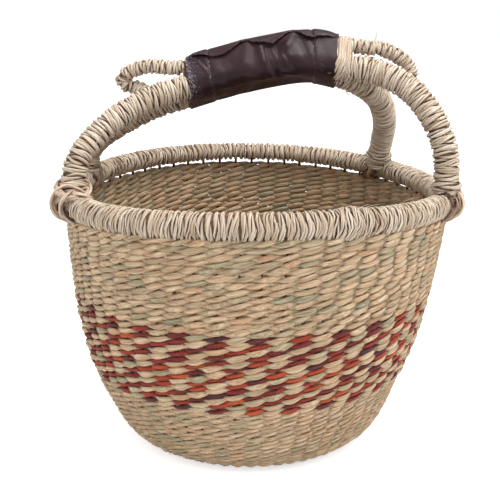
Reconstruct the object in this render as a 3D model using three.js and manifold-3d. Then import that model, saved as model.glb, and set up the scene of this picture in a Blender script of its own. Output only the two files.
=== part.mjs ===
// Round market basket woven from dried grass, with a two-arch handle in a leather grip.
// Millimetres, +Z up. The origin is the middle of the flat base, and the front faces -Y.

import * as THREE from 'three';
import { mergeGeometries, mergeVertices } from 'three/addons/utils/BufferGeometryUtils.js';
import Module from 'manifold-3d';

const wasm = await Module();
wasm.setup();

// Driving sizes of the woven body
const rimRadius = 135;            // centre line of the rim
const lowerWallTop = 56;          // where the coloured rows begin
const colourBandHeight = 60;
const upperWallHeight = 61;
const wallThickness = 6;
const baseThickness = 6;
const rimLean = 9;                // sideways shift of the rim against the base
const rightDip = 9.3;             // the rim lies this much lower at the right
const leftDip = 7.5;              // and this much lower at the left
const clearance = 0.3;            // between pieces that touch

// Driving sizes of the row of gaps and the rim
const stakeCount = 60;
const stakeWidth = 2.4;
const stakeThickness = 2.6;
const gapRowHeight = 3.5;
const rimWidth = 17.4;
const rimFrontHeight = 20;
const rimBackHeight = 15.6;
const rimWrapThickness = 2.6;
const ridgeHeight = 0.9;          // of one turn of wrapping above the groove beside it
const rimTurns = 43;

// Driving sizes of the handle
const archRise = 90;              // top of the front arch above the middle of the rim
const legRadius = 9.75;           // over the wrapping
const footRadius = 10.4;          // over the wrapping, where the leg meets the rim
const footFlareLength = 16;
const footInset = 1;              // the wrapping stops short of the rod's end
const legWrapThickness = 2.8;
const legWrapPitch = 7.2;
const archDrop = 8.2;             // the back arch lies this much lower in the grip
const footDepth = 7;              // a leg reaches this far down beside the rim
const gripLength = 110;
const leatherThickness = 1.2;
const leatherEase = 0.4;          // the leather's inside stands off the grass it covers
const bindingShare = 0.8;        // size of a bound rod in the grip, as a share of a wrapped one

// Driving sizes of the curled ends
const curlRadius = 5.1;
const curlWrapThickness = 1.8;
const curlWrapPitch = 6.2;
const curlRidgeHeight = 0.5;
const leftCurlReach = 45;
const leftCurlDrop = 16;
const rightCurlReach = 54;
const rightCurlDrop = 25;
const curlSway = 5;
const curlEndInset = 13;          // the thin rod's ends stop this far from the leather
const curlRest = 12;              // and lie against a leg for this length

// Driving sizes of the lashings at the four feet
const lashingOutside = 10;
const lashingTop = 3;
const lashingInside = 4;
const lashingWidth = 14;
const lashingStakeGap = 0.9;

// Driving sizes of the sewing on the leather
const threadThickness = 0.8;
const threadInset = 14;           // from each end of the leather

// Facets
const roundSides = 8;
const coreSides = 6;
const thinSides = 5;
const seatSides = 16;
const archSteps = 26;
const curlSteps = 44;
const gripSteps = 8;
const bundleSides = 16;
const sheetSteps = 20;
const lashingSteps = 16;
const lashingSides = 6;
const full = 2 * Math.PI;

// Heights that follow
const colourBandTop = lowerWallTop + colourBandHeight;
const wallTop = colourBandTop + upperWallHeight;
const rimBottom = wallTop + gapRowHeight;
const rimMiddle = rimBottom + (rimFrontHeight + rimBackHeight) / 4;
const half = clearance / 2;

// Colours from the photograph
const straw = { color: 0xb9a27c, roughness: 0.85, metalness: 0 };
const paleStraw = { color: 0xcbbda0, roughness: 0.8, metalness: 0 };
const band = { color: 0x9a5a42, roughness: 0.85, metalness: 0 };
const darkStraw = { color: 0x7d6a4c, roughness: 0.9, metalness: 0 };
const leather = { color: 0x3a2729, roughness: 0.5, metalness: 0 };
const thread = { color: 0x8a7c74, roughness: 0.7, metalness: 0 };

// The basket leans a little to the right, more with height
const lean = new THREE.Matrix4().makeShear(0, 0, 0, 0, rimLean / rimMiddle, 0);

const basket = new THREE.Group();

function addPiece(name, geometry, look) {
  const leaning = geometry.clone().applyMatrix4(lean);
  const mesh = new THREE.Mesh(leaning, new THREE.MeshStandardMaterial(look));
  mesh.name = name;
  basket.add(mesh);
}

// A closed mesh whose corners are shared, with its faces turned outwards
const mergeTolerance = 1e-4;

function closedMesh(geometry) {
  const bare = geometry.clone();
  bare.deleteAttribute('normal');
  bare.deleteAttribute('uv');
  const merged = mergeVertices(bare, mergeTolerance);
  const place = merged.attributes.position;
  const source = merged.index.array;
  const corners = [];
  let volume = 0;
  const [a, b, c] = [new THREE.Vector3(), new THREE.Vector3(), new THREE.Vector3()];
  for (let i = 0; i < source.length; i += 3) {
    const [p, q, r] = [source[i], source[i + 1], source[i + 2]];
    if (p === q || q === r || r === p) continue;
    corners.push(p, q, r);
    a.fromBufferAttribute(place, p);
    b.fromBufferAttribute(place, q);
    c.fromBufferAttribute(place, r);
    volume += a.dot(b.cross(c));
  }
  if (volume < 0) corners.reverse();
  merged.setIndex(corners);
  return merged;
}

function toSolid(geometry) {
  const closed = closedMesh(geometry);
  return new wasm.Manifold(new wasm.Mesh({
    numProp: 3,
    vertProperties: new Float32Array(closed.attributes.position.array),
    triVerts: new Uint32Array(closed.index.array),
  }));
}

function fromSolid(solid) {
  const mesh = solid.getMesh();
  const geometry = new THREE.BufferGeometry();
  geometry.setAttribute('position', new THREE.BufferAttribute(mesh.vertProperties, 3));
  geometry.setIndex(new THREE.BufferAttribute(mesh.triVerts, 1));
  return geometry;
}

// The first geometry without the others; loose crumbs are left out
function carve(geometry, ...cutters) {
  let solid = toSolid(geometry);
  for (const cutter of cutters) solid = solid.subtract(toSolid(cutter));
  const bodies = solid.decompose();
  bodies.sort((one, other) => other.volume() - one.volume());
  return fromSolid(bodies[0]);
}

// The handle has pulled the rim down at both sides, most a little behind the right and a little
// before the left; above the wall the dip is full, and it fades out down to the coloured rows
const rightDipAngle = THREE.MathUtils.degToRad(4);
const leftDipAngle = THREE.MathUtils.degToRad(-160);
const rightDipFalloff = 3.5;
const leftDipFalloff = 5;

function rimDip(angle) {
  const nearness = (middle) => (1 + Math.cos(angle - middle)) / 2;
  const right = rightDip * nearness(rightDipAngle) ** rightDipFalloff;
  return right + leftDip * nearness(leftDipAngle) ** leftDipFalloff;
}

function dipped(geometry) {
  const place = geometry.attributes.position;
  for (let i = 0; i < place.count; i += 1) {
    const height = place.getZ(i);
    const share = THREE.MathUtils.clamp((height - colourBandTop) / upperWallHeight, 0, 1);
    place.setZ(i, height - share ** 2 * rimDip(Math.atan2(place.getY(i), place.getX(i))));
  }
  return geometry;
}

// A solid through rings of points that have the same count; open ones get flat ends
function loftSolid(rings, isLoop) {
  const count = rings[0].length;
  const places = rings.flat().flatMap((point) => point.toArray());
  const corners = [];
  const last = isLoop ? rings.length : rings.length - 1;
  for (let i = 0; i < last; i += 1) {
    const next = (i + 1) % rings.length;
    for (let j = 0; j < count; j += 1) {
      const beside = (j + 1) % count;
      corners.push(i * count + j, i * count + beside, next * count + j);
      corners.push(i * count + beside, next * count + beside, next * count + j);
    }
  }
  const geometry = new THREE.BufferGeometry();
  if (!isLoop) {
    const capFaces = capCorners(rings[0]);
    const top = (rings.length - 1) * count;
    capFaces.forEach(([p, q, r]) => corners.push(p, r, q, top + p, top + q, top + r));
  }
  geometry.setAttribute('position', new THREE.Float32BufferAttribute(places, 3));
  geometry.setIndex(corners);
  return geometry;
}

// Faces that fill a flat ring, counted from its first point
function capCorners(ring) {
  const centre = ring.reduce((sum, point) => sum.add(point), new THREE.Vector3());
  centre.divideScalar(ring.length);
  const normal = new THREE.Vector3();
  ring.forEach((point, i) => {
    const next = ring[(i + 1) % ring.length];
    normal.add(point.clone().sub(centre).cross(next.clone().sub(centre)));
  });
  normal.normalize();
  const across = ring[0].clone().sub(centre).normalize();
  const along = normal.clone().cross(across);
  const flat = ring.map((point) => {
    const arm = point.clone().sub(centre);
    return new THREE.Vector2(arm.dot(across), arm.dot(along));
  });
  return THREE.ShapeUtils.triangulateShape(flat, []);
}

// Outer profile of the body, from the base edge up to the top of the wall
const profileShares = [
  [0.64, 0], [0.73, 0.06], [0.807, 0.16], [0.887, 0.3], [0.962, 0.5], [1.014, 0.75], [1.036, 1],
];
const outerCurve = new THREE.SplineCurve(
  profileShares.map(([across, up]) => new THREE.Vector2(across * rimRadius, up * wallTop)),
);
const profileSteps = 80;
const outerLine = outerCurve.getSpacedPoints(profileSteps);
const innerLine = outerLine.map((point, i) => {
  const slope = outerCurve.getTangentAt(i / profileSteps);
  return new THREE.Vector2(point.x - slope.y * wallThickness, point.y + slope.x * wallThickness);
});

function radiusAt(line, height) {
  let i = 1;
  while (i < line.length - 1 && line[i].y < height) i += 1;
  const share = (height - line[i - 1].y) / (line[i].y - line[i - 1].y);
  return line[i - 1].x + share * (line[i].x - line[i - 1].x);
}

function lathe(profile) {
  return new THREE.LatheGeometry(profile, stakeCount).rotateX(Math.PI / 2);
}

// One ring of the wall between two heights
function wallRing(bottom, top, bands) {
  const outside = [];
  const inside = [];
  for (let i = 0; i <= bands; i += 1) {
    const height = bottom + ((top - bottom) * i) / bands;
    outside.push(new THREE.Vector2(radiusAt(outerLine, height), height));
    inside.unshift(new THREE.Vector2(radiusAt(innerLine, height), height));
  }
  const profile = [...outside, ...inside, outside[0].clone()];
  return closedMesh(lathe(profile));
}

function baseDisc() {
  const middle = baseThickness / 2;
  const profile = [
    new THREE.Vector2(0, 0),
    new THREE.Vector2(radiusAt(outerLine, 0), 0),
    new THREE.Vector2(radiusAt(outerLine, middle), middle),
    new THREE.Vector2(radiusAt(outerLine, baseThickness), baseThickness),
    new THREE.Vector2(0, baseThickness),
  ];
  return closedMesh(lathe(profile));
}

addPiece('base_weave', baseDisc(), straw);
const lowerBands = 3;
const upperBands = 2;
addPiece('lower_wall_weave', wallRing(baseThickness + clearance, lowerWallTop - half, lowerBands), straw);
addPiece('colour_band_weave', wallRing(lowerWallTop + half, colourBandTop - half, upperBands), band);
addPiece('upper_wall_weave', dipped(wallRing(colourBandTop + half, wallTop, upperBands)), straw);

// The rim is an oval bundle, thicker at the front; its underside stays level
function rimHalfHeight(angle) {
  const mean = (rimFrontHeight + rimBackHeight) / 4;
  const swell = (rimFrontHeight - rimBackHeight) / 4;
  return mean - swell * Math.sin(angle);
}

// A point on the rim's skin, grown by some thickness; turn 0 is the outside, a quarter is the top
function rimPoint(angle, turn, grow) {
  const upright = rimHalfHeight(angle);
  const radius = rimRadius + (rimWidth / 2 + grow) * Math.cos(turn);
  const height = rimBottom + upright + (upright + grow) * Math.sin(turn);
  return new THREE.Vector3(radius * Math.cos(angle), radius * Math.sin(angle), height);
}

function rimBundle(grow, sides, steps) {
  const rings = [];
  for (let i = 0; i < steps; i += 1) {
    const ring = [];
    for (let j = 0; j < sides; j += 1) {
      ring.push(rimPoint((i / steps) * full, -(j / sides) * full, grow));
    }
    rings.push(ring);
  }
  return loftSolid(rings, true);
}

// Wrapping that runs round the rim as one unbroken helix, two rings of points to a turn
function rimWinding() {
  const rows = 2 * rimTurns;
  const places = [];
  for (let i = 0; i < rows; i += 1) {
    const grow = i % 2 === 0 ? 0 : -ridgeHeight;
    for (let j = 0; j < roundSides; j += 1) {
      const angle = ((i / 2 + j / roundSides) / rimTurns) * full;
      places.push(...rimPoint(angle, -(j / roundSides) * full, grow).toArray());
    }
  }
  const corner = (i, j) => (j < roundSides
    ? (i % rows) * roundSides + j
    : ((i + 2) % rows) * roundSides);
  const corners = [];
  for (let i = 0; i < rows; i += 1) {
    for (let j = 0; j < roundSides; j += 1) {
      corners.push(corner(i, j), corner(i, j + 1), corner(i + 1, j));
      corners.push(corner(i, j + 1), corner(i + 1, j + 1), corner(i + 1, j));
    }
  }
  const geometry = new THREE.BufferGeometry();
  geometry.setAttribute('position', new THREE.Float32BufferAttribute(places, 3));
  geometry.setIndex(corners);
  return geometry;
}

// The open slit under the rim, where the stakes go in
function rimSlit() {
  const reach = stakeThickness / 2 + 2 * clearance;
  const top = rimBottom + (3 * rimWrapThickness) / 2;
  const bottom = rimBottom - clearance;
  const profile = [
    new THREE.Vector2(rimRadius - reach, bottom),
    new THREE.Vector2(rimRadius + reach, bottom),
    new THREE.Vector2(rimRadius + reach, top),
    new THREE.Vector2(rimRadius - reach, top),
    new THREE.Vector2(rimRadius - reach, bottom),
  ];
  return lathe(profile);
}

// The stakes cross the row of gaps, then bend over and run round the rim as its core
const stakeStep = full / stakeCount;
const firstStake = stakeStep / 4;

function rimCoreAndStakes() {
  const bottom = wallTop + clearance;
  const top = rimBottom + rimFrontHeight / 4;
  const core = rimBundle(-rimWrapThickness - clearance, coreSides, stakeCount);
  const posts = [];
  for (let i = 0; i < stakeCount; i += 1) {
    const post = new THREE.BoxGeometry(stakeThickness, stakeWidth, top - bottom);
    post.translate(rimRadius, 0, (top + bottom) / 2);
    post.rotateZ(firstStake + i * stakeStep);
    posts.push(post);
  }
  return fromSolid(toSolid(core).add(toSolid(mergeGeometries(posts))));
}

addPiece('rim_core_and_stakes', dipped(rimCoreAndStakes()), darkStraw);
const rimBore = rimBundle(-rimWrapThickness, coreSides, stakeCount);
addPiece('rim_wrapping', dipped(carve(rimWinding(), rimBore, rimSlit())), paleStraw);

// Feet stand over the middle of a gap between two stakes, as near as can be to these angles
function footAngle(degrees) {
  const wanted = THREE.MathUtils.degToRad(degrees);
  const gap = Math.round((wanted - firstStake) / stakeStep - 1 / 2) + 1 / 2;
  return firstStake + gap * stakeStep;
}

const frontRightFoot = footAngle(-20);
const backRightFoot = footAngle(41);
const backLeftFoot = footAngle(166);
const frontLeftFoot = footAngle(202);

// How far out of the rim's centre line each leg stands, as shares of the rim's width
const frontRightOutShare = 0.25;
const frontLeftOutShare = 0.2;
const backRightOutShare = -0.3;
const backLeftOutShare = 0;

function footPoint(angle, outShare) {
  const radius = rimRadius + outShare * rimWidth;
  const height = rimBottom + 2 * rimHalfHeight(angle) - rimDip(angle) - footDepth;
  return new THREE.Vector3(radius * Math.cos(angle), radius * Math.sin(angle), height);
}

// A place on the handle: shares of the rim's radius across, and of the arch's rise up
function handlePoint([right, back, up]) {
  return new THREE.Vector3(right * rimRadius, back * rimRadius, rimMiddle + up * archRise);
}

function smoothPath(points) {
  const path = new THREE.CatmullRomCurve3(points, false, 'centripetal');
  path.arcLengthDivisions = 400;
  return path;
}

// Across and up directions of a path; the first is kept as level towards the back as it can be
function frameAt(path, along) {
  const share = THREE.MathUtils.clamp(along / path.getLength(), 0, 1);
  const centre = path.getPointAt(share);
  const tangent = path.getTangentAt(share);
  const across = new THREE.Vector3(0, 1, 0);
  across.addScaledVector(tangent, -across.dot(tangent)).normalize();
  const upward = tangent.clone().cross(across);
  return { centre, tangent, across, upward };
}

// A point beside a path, in the plane that crosses it square
function beside(path, along, [back, up]) {
  const { centre, across, upward } = frameAt(path, along);
  return centre.addScaledVector(across, back).addScaledVector(upward, up);
}

// How far along a path it passes nearest to a point
function alongNear(path, target) {
  const length = path.getLength();
  let [from, to] = [0, length];
  const searchSteps = 40;
  while (to - from > clearance / searchSteps) {
    const step = (to - from) / searchSteps;
    let best = from;
    let least = Infinity;
    for (let i = 0; i <= searchSteps; i += 1) {
      const gap = path.getPointAt(Math.min((from + i * step) / length, 1)).distanceTo(target);
      if (gap < least) [least, best] = [gap, from + i * step];
    }
    [from, to] = [Math.max(best - step, 0), Math.min(best + step, length)];
  }
  return (from + to) / 2;
}

// The front arch, from its left foot over the grip to its right foot
const gripMiddleShares = [0, -0.067, 0.94];
const frontArchShares = [
  [-0.934, -0.345, 0.255], [-0.85, -0.262, 0.435], [-0.747, -0.193, 0.57], [-0.59, -0.119, 0.69],
  [-0.394, -0.067, 0.785], gripMiddleShares, [0.25, -0.067, 0.99], [0.42, -0.067, 0.948],
  [0.617, -0.104, 0.89], [0.735, -0.16, 0.81], [0.83, -0.225, 0.685], [0.904, -0.285, 0.515],
  [0.952, -0.325, 0.315],
];
const frontArch = smoothPath([
  footPoint(frontLeftFoot, frontLeftOutShare),
  ...frontArchShares.map(handlePoint),
  footPoint(frontRightFoot, frontRightOutShare),
]);
const frontLength = frontArch.getLength();
const gripMiddle = alongNear(frontArch, handlePoint(gripMiddleShares));
const gripStart = gripMiddle - gripLength / 2;
const gripEnd = gripMiddle + gripLength / 2;

// In the grip the back arch lies behind the front one and lower, and touches it all the way
const rodSpacing = 2 * legRadius + clearance;
const backPlace = [Math.sqrt(rodSpacing ** 2 - archDrop ** 2), -archDrop];

// The thin rod lies on top of the front arch, a little behind it
const curlSpacing = legRadius + curlRadius + clearance;
const curlTilt = THREE.MathUtils.degToRad(65);
const curlPlace = [curlSpacing * Math.cos(curlTilt), curlSpacing * Math.sin(curlTilt)];

function gripStations() {
  return Array.from({ length: gripSteps + 1 }, (unused, i) => gripStart + (gripLength * i) / gripSteps);
}

// Points beside the front arch all along the grip
const gripPlaces = 7;

function besideGrip(place) {
  const points = [];
  for (let i = 0; i < gripPlaces; i += 1) {
    points.push(beside(frontArch, gripStart + (gripLength * i) / (gripPlaces - 1), place));
  }
  return points;
}

const backLeftShares = [
  [-0.965, 0.25, 0.17], [-0.892, 0.207, 0.31], [-0.768, 0.16, 0.438], [-0.608, 0.115, 0.573],
];
const backRightShares = [
  [0.56, 0.15, 0.755], [0.655, 0.235, 0.64], [0.716, 0.36, 0.47], [0.742, 0.49, 0.31], [0.742, 0.58, 0.14],
];
const backMiddle = besideGrip(backPlace);
const backArch = smoothPath([
  footPoint(backLeftFoot, backLeftOutShare),
  ...backLeftShares.map(handlePoint),
  ...backMiddle,
  ...backRightShares.map(handlePoint),
  footPoint(backRightFoot, backRightOutShare),
]);
const backLength = backArch.getLength();

// The thin rod's two ends turn over and come back to lie behind the front legs
const leftCurlShares = [
  [0.31, 0.3, 0], [0.52, 0.5, 0.03], [0.73, 0.9, -0.09], [0.91, 1.2, -0.34], [0.97, 1.4, -0.63],
  [0.9, 1.5, -0.86], [0.72, 1.5, -0.98],
];
const rightCurlShares = [
  [0.29, 0.4, -0.07], [0.5, 0.7, -0.12], [0.71, 1, -0.31], [0.87, 1.1, -0.57], [0.92, 1, -0.84],
  [0.83, 0.7, -1],
];
const leftRestTilt = THREE.MathUtils.degToRad(11);
const rightRestTilt = THREE.MathUtils.degToRad(12);

function curlPoints(shares, root, reach, drop) {
  return shares.map(([out, back, up]) => new THREE.Vector3(out * reach, back * curlSway, up * drop).add(root));
}

function restPoints(gripSide, direction, tilt) {
  const place = [curlSpacing * Math.cos(tilt), curlSpacing * Math.sin(tilt)];
  return [curlEndInset + curlRest, curlEndInset].map((inset) => (
    beside(frontArch, gripSide + direction * inset, place)
  ));
}

const curlMiddle = besideGrip(curlPlace);
const [leftRoot, rightRoot] = [curlMiddle[0], curlMiddle[gripPlaces - 1]];
const leftCurlPoints = [
  ...curlPoints(leftCurlShares, leftRoot, -leftCurlReach, leftCurlDrop),
  ...restPoints(gripStart, -1, leftRestTilt),
];
const rightCurlPoints = [
  ...curlPoints(rightCurlShares, rightRoot, rightCurlReach, rightCurlDrop),
  ...restPoints(gripEnd, 1, rightRestTilt),
];
const curlRod = smoothPath([...leftCurlPoints.reverse(), ...curlMiddle, ...rightCurlPoints]);
const curlRodLength = curlRod.getLength();

// The grip's room with its clearance; the wrapped legs and curls end square at its two ends
function gripRoom() {
  const reach = 2 * rodSpacing;
  const inner = gripStations().slice(1, -1);
  const rings = [gripStart - clearance, ...inner, gripEnd + clearance].map((along) => (
    [[-1, -1], [1, -1], [1, 1], [-1, 1]].map(([back, up]) => (
      beside(frontArch, along, [back * reach, up * reach])
    ))
  ));
  return loftSolid(rings, false);
}

const gripSeat = gripRoom();

// Least gap between two stretches of a rod that lie further apart along it than half a turn
function leastSelfGap(path, radius) {
  const samples = 200;
  const step = path.getLength() / samples;
  const points = path.getSpacedPoints(samples);
  const apart = Math.ceil((Math.PI * 2 * radius) / step);
  let least = Infinity;
  for (let i = 0; i <= samples; i += 1) {
    for (let j = i + apart; j <= samples; j += 1) {
      least = Math.min(least, points[i].distanceTo(points[j]) - 2 * radius);
    }
  }
  return least;
}

console.log(`curled rod, least gap to itself: ${leastSelfGap(curlRod, curlRadius).toFixed(1)} mm`);

// A round rod along a path
function rod(path, radius, steps, sides) {
  const corners = [];
  for (let i = 0; i < sides; i += 1) {
    const turn = (i / sides) * full;
    corners.push(new THREE.Vector2(radius * Math.cos(turn), radius * Math.sin(turn)));
  }
  const options = { steps, bevelEnabled: false, extrudePath: path };
  return new THREE.ExtrudeGeometry(new THREE.Shape(corners), options);
}

// Wrapping round a stretch of a path: one unbroken helix, two rings of points to a turn
function winding(path, [from, to], pitch, ridge, sides, radiusAlong) {
  const turns = Math.round((to - from) / pitch);
  const step = (to - from) / turns;
  const rows = 2 * turns + 4;
  const places = [];
  for (let i = 0; i <= rows; i += 1) {
    for (let j = 0; j < sides; j += 1) {
      const wanted = from + (i / 2 - 1 + j / sides) * step;
      const along = THREE.MathUtils.clamp(wanted, from, to);
      const isGroove = i % 2 !== 0 || wanted < from || wanted > to;
      const radius = radiusAlong(along) - (isGroove ? ridge : 0);
      const turn = (j / sides) * full;
      const point = beside(path, along, [radius * Math.cos(turn), radius * Math.sin(turn)]);
      places.push(...point.toArray());
    }
  }
  const corner = (i, j) => (j < sides ? i * sides + j : (i + 2) * sides);
  const corners = [];
  for (let i = 0; i < rows - 2; i += 1) {
    for (let j = 0; j < sides; j += 1) {
      corners.push(corner(i, j), corner(i, j + 1), corner(i + 1, j));
      corners.push(corner(i, j + 1), corner(i + 1, j + 1), corner(i + 1, j));
    }
  }
  const startLoop = [];
  const endLoop = [];
  for (let j = 0; j < sides; j += 1) {
    startLoop.push(corner(0, j));
    endLoop.push(corner(rows - 2, j));
  }
  startLoop.push(corner(2, 0), corner(1, 0));
  endLoop.push(corner(rows, 0), corner(rows - 1, 0));
  const hub = places.length / 3;
  places.push(...frameAt(path, from).centre.toArray(), ...frameAt(path, to).centre.toArray());
  startLoop.forEach((place, i) => corners.push(place, hub, startLoop[(i + 1) % startLoop.length]));
  endLoop.forEach((place, i) => corners.push(place, endLoop[(i + 1) % endLoop.length], hub + 1));
  const geometry = new THREE.BufferGeometry();
  geometry.setAttribute('position', new THREE.Float32BufferAttribute(places, 3));
  geometry.setIndex(corners);
  return geometry;
}

// A lashing: a flat bunch of grass that goes round the rim through the row of gaps
const lashingBottom = gapRowHeight - 2 * clearance;
const lashingNeck = rimRadius * stakeStep - stakeWidth - 2 * lashingStakeGap;

function lashing(angle, grow) {
  const rings = [];
  const upright = rimHalfHeight(angle);
  const tangent = new THREE.Vector3(-Math.sin(angle), Math.cos(angle), 0);
  for (let i = 0; i < lashingSteps; i += 1) {
    const turn = (i / lashingSteps) * full;
    const [outward, upward] = [Math.cos(turn), Math.sin(turn)];
    const side = outward > 0 ? lashingOutside : lashingInside;
    const end = upward > 0 ? lashingTop : lashingBottom;
    const thick = side * outward ** 2 + end * upward ** 2;
    const neck = upward > 0 ? lashingWidth : lashingNeck;
    const wide = lashingWidth * outward ** 2 + neck * upward ** 2;
    const slope = new THREE.Vector2(outward * upright, upward * (rimWidth / 2)).normalize();
    const normal = new THREE.Vector3(slope.x * Math.cos(angle), slope.x * Math.sin(angle), slope.y);
    const centre = rimPoint(angle, turn, clearance).addScaledVector(normal, thick / 2);
    const ring = [];
    for (let j = 0; j < lashingSides; j += 1) {
      const swing = (j / lashingSides) * full;
      const point = centre.clone();
      point.addScaledVector(normal, (thick / 2 + grow) * Math.cos(swing));
      point.addScaledVector(tangent, (wide / 2 + grow) * Math.sin(swing));
      ring.push(point);
    }
    rings.push(ring);
  }
  return dipped(loftSolid(rings, true));
}

// What the feet stand on, with its clearance: the rim and all four lashings
const seatEase = (3 * clearance) / 2;
const rimSeat = dipped(rimBundle(seatEase, seatSides, 2 * stakeCount));
const feet = [
  ['front_right', frontRightFoot], ['back_right', backRightFoot],
  ['back_left', backLeftFoot], ['front_left', frontLeftFoot],
];
const lashingSeats = feet.map(([, angle]) => lashing(angle, seatEase));
feet.forEach(([place, angle]) => {
  addPiece(`${place}_foot_lashing`, closedMesh(lashing(angle, 0)), paleStraw);
});

const coreRadius = legRadius - legWrapThickness - clearance;
const frontCore = rod(frontArch, coreRadius, archSteps, coreSides);
const backCore = rod(backArch, coreRadius, archSteps, coreSides);
addPiece('front_arch_core', carve(frontCore, rimSeat, ...lashingSeats), darkStraw);
addPiece('back_arch_core', carve(backCore, rimSeat, ...lashingSeats), darkStraw);

// The four wrapped legs, between the rim and the leather, thicker at the foot
function leg(name, path, from, to, footAlong) {
  const radiusAlong = (along) => {
    const share = 1 - Math.min(Math.abs(along - footAlong) / footFlareLength, 1);
    return legRadius + (footRadius - legRadius) * share ** 2;
  };
  const bore = rod(path, coreRadius + clearance, archSteps, coreSides);
  const wound = winding(path, [from, to], legWrapPitch, ridgeHeight, roundSides, radiusAlong);
  addPiece(name, carve(wound, bore, rimSeat, gripSeat, ...lashingSeats), paleStraw);
}

const backGripStart = alongNear(backArch, backMiddle[0]) + legRadius;
const backGripEnd = alongNear(backArch, backMiddle[gripPlaces - 1]) - legRadius;
leg('front_left_leg_wrapping', frontArch, footInset, gripStart + legRadius, 0);
leg('front_right_leg_wrapping', frontArch, gripEnd - legRadius, frontLength - footInset, frontLength);
leg('back_left_leg_wrapping', backArch, footInset, backGripStart, 0);
leg('back_right_leg_wrapping', backArch, backGripEnd, backLength - footInset, backLength);

// The thin rod, and the wrapping of its two curled ends
const curlCoreRadius = curlRadius - curlWrapThickness - clearance;
addPiece('curl_rod_core', closedMesh(rod(curlRod, curlCoreRadius, curlSteps, thinSides)), darkStraw);

function curl(name, from, to) {
  const bore = rod(curlRod, curlCoreRadius + clearance, curlSteps, thinSides);
  const wound = winding(curlRod, [from, to], curlWrapPitch, curlRidgeHeight, thinSides, () => curlRadius);
  addPiece(name, carve(wound, bore, gripSeat), paleStraw);
}

const curlGripStart = alongNear(curlRod, leftRoot) + curlRadius;
const curlGripEnd = alongNear(curlRod, rightRoot) - curlRadius;
curl('left_curl_wrapping', clearance, curlGripStart);
curl('right_curl_wrapping', curlGripEnd, curlRodLength - clearance);

// Outline of the three bound rods, pulled tight round them: a point for each facing direction
const boundRods = [
  { place: [0, 0], radius: bindingShare * legRadius },
  { place: backPlace, radius: bindingShare * legRadius },
  { place: curlPlace, radius: bindingShare * curlRadius },
];

function bundlePoint(along, facing, grow) {
  const [back, up] = [Math.cos(facing), Math.sin(facing)];
  const reach = (item) => item.place[0] * back + item.place[1] * up + item.radius;
  const outermost = boundRods.reduce((best, item) => (reach(item) > reach(best) ? item : best));
  const arm = outermost.radius + grow;
  return beside(frontArch, along, [outermost.place[0] + arm * back, outermost.place[1] + arm * up]);
}

// The binding that holds the three rods together under the leather
function gripBinding() {
  const rings = gripStations().map((along) => (
    Array.from({ length: bundleSides }, (unused, j) => bundlePoint(along, (j / bundleSides) * full, 0))
  ));
  const arms = [frontArch, backArch].map((path) => rod(path, coreRadius + clearance, archSteps, coreSides));
  const thin = rod(curlRod, curlCoreRadius + clearance, curlSteps, thinSides);
  return carve(loftSolid(rings, false), ...arms, thin);
}

addPiece('grip_binding', gripBinding(), darkStraw);

// The leather: one sheet rolled round the bundle, its outer edge lapping over its inner edge on top
const lapStart = THREE.MathUtils.degToRad(70);
const lapOverlap = THREE.MathUtils.degToRad(40);
const lapLift = THREE.MathUtils.degToRad(45);

function sheetGrow(facing) {
  const share = THREE.MathUtils.clamp((facing - lapStart - full + lapLift) / lapLift, 0, 1);
  const lift = (leatherThickness + clearance) * THREE.MathUtils.smoothstep(share, 0, 1);
  return leatherEase + lift;
}

function sheetFacing(step) {
  return lapStart + (step / sheetSteps) * (full + lapOverlap);
}

function leatherSleeve() {
  const rings = gripStations().map((along) => {
    const inner = [];
    const outer = [];
    for (let j = 0; j <= sheetSteps; j += 1) {
      const facing = sheetFacing(j);
      const grow = sheetGrow(facing);
      inner.unshift(bundlePoint(along, facing, grow));
      outer.push(bundlePoint(along, facing, grow + leatherThickness));
    }
    return [...outer, ...inner];
  });
  return loftSolid(rings, false);
}

addPiece('leather_grip', closedMesh(leatherSleeve()), leather);

// A line of sewing round the leather near each end; the thread lies on the leather and follows
// its facets, from just past the free edge to that edge again
function endThread(along) {
  const rings = [];
  const { tangent } = frameAt(frontArch, along);
  const firstStep = Math.ceil((sheetSteps * lapOverlap) / (full + lapOverlap)) + 1;
  for (let i = firstStep; i < sheetSteps; i += 1) {
    const facing = sheetFacing(i);
    const lowest = sheetGrow(facing) + leatherThickness + clearance;
    const middle = lowest + threadThickness / 2;
    rings.push([
      bundlePoint(along, facing, middle).addScaledVector(tangent, -threadThickness / 2),
      bundlePoint(along, facing, lowest),
      bundlePoint(along, facing, middle).addScaledVector(tangent, threadThickness / 2),
      bundlePoint(along, facing, lowest + threadThickness),
    ]);
  }
  return loftSolid(rings, false);
}

addPiece('left_end_stitching', closedMesh(endThread(gripStart + threadInset)), thread);
addPiece('right_end_stitching', closedMesh(endThread(gripEnd - threadInset)), thread);

export default basket;
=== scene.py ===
import math

import bpy
import numpy as np
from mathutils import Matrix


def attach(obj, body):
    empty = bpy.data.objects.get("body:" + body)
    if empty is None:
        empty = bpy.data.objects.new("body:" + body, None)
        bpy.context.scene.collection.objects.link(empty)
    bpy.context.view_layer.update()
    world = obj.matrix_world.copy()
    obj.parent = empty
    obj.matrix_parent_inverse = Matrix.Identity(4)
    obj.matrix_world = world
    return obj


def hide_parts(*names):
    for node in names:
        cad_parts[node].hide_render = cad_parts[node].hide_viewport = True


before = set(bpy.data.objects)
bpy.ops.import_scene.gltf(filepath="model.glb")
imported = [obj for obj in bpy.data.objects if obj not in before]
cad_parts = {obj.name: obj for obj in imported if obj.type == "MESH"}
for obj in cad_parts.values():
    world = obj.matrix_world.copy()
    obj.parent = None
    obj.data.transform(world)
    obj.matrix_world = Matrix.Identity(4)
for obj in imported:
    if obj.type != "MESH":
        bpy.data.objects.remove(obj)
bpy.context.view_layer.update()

# all sizes are in millimetres, as in the part's source; meshes are written in metres
metre = 0.001
full = 2 * math.pi

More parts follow.
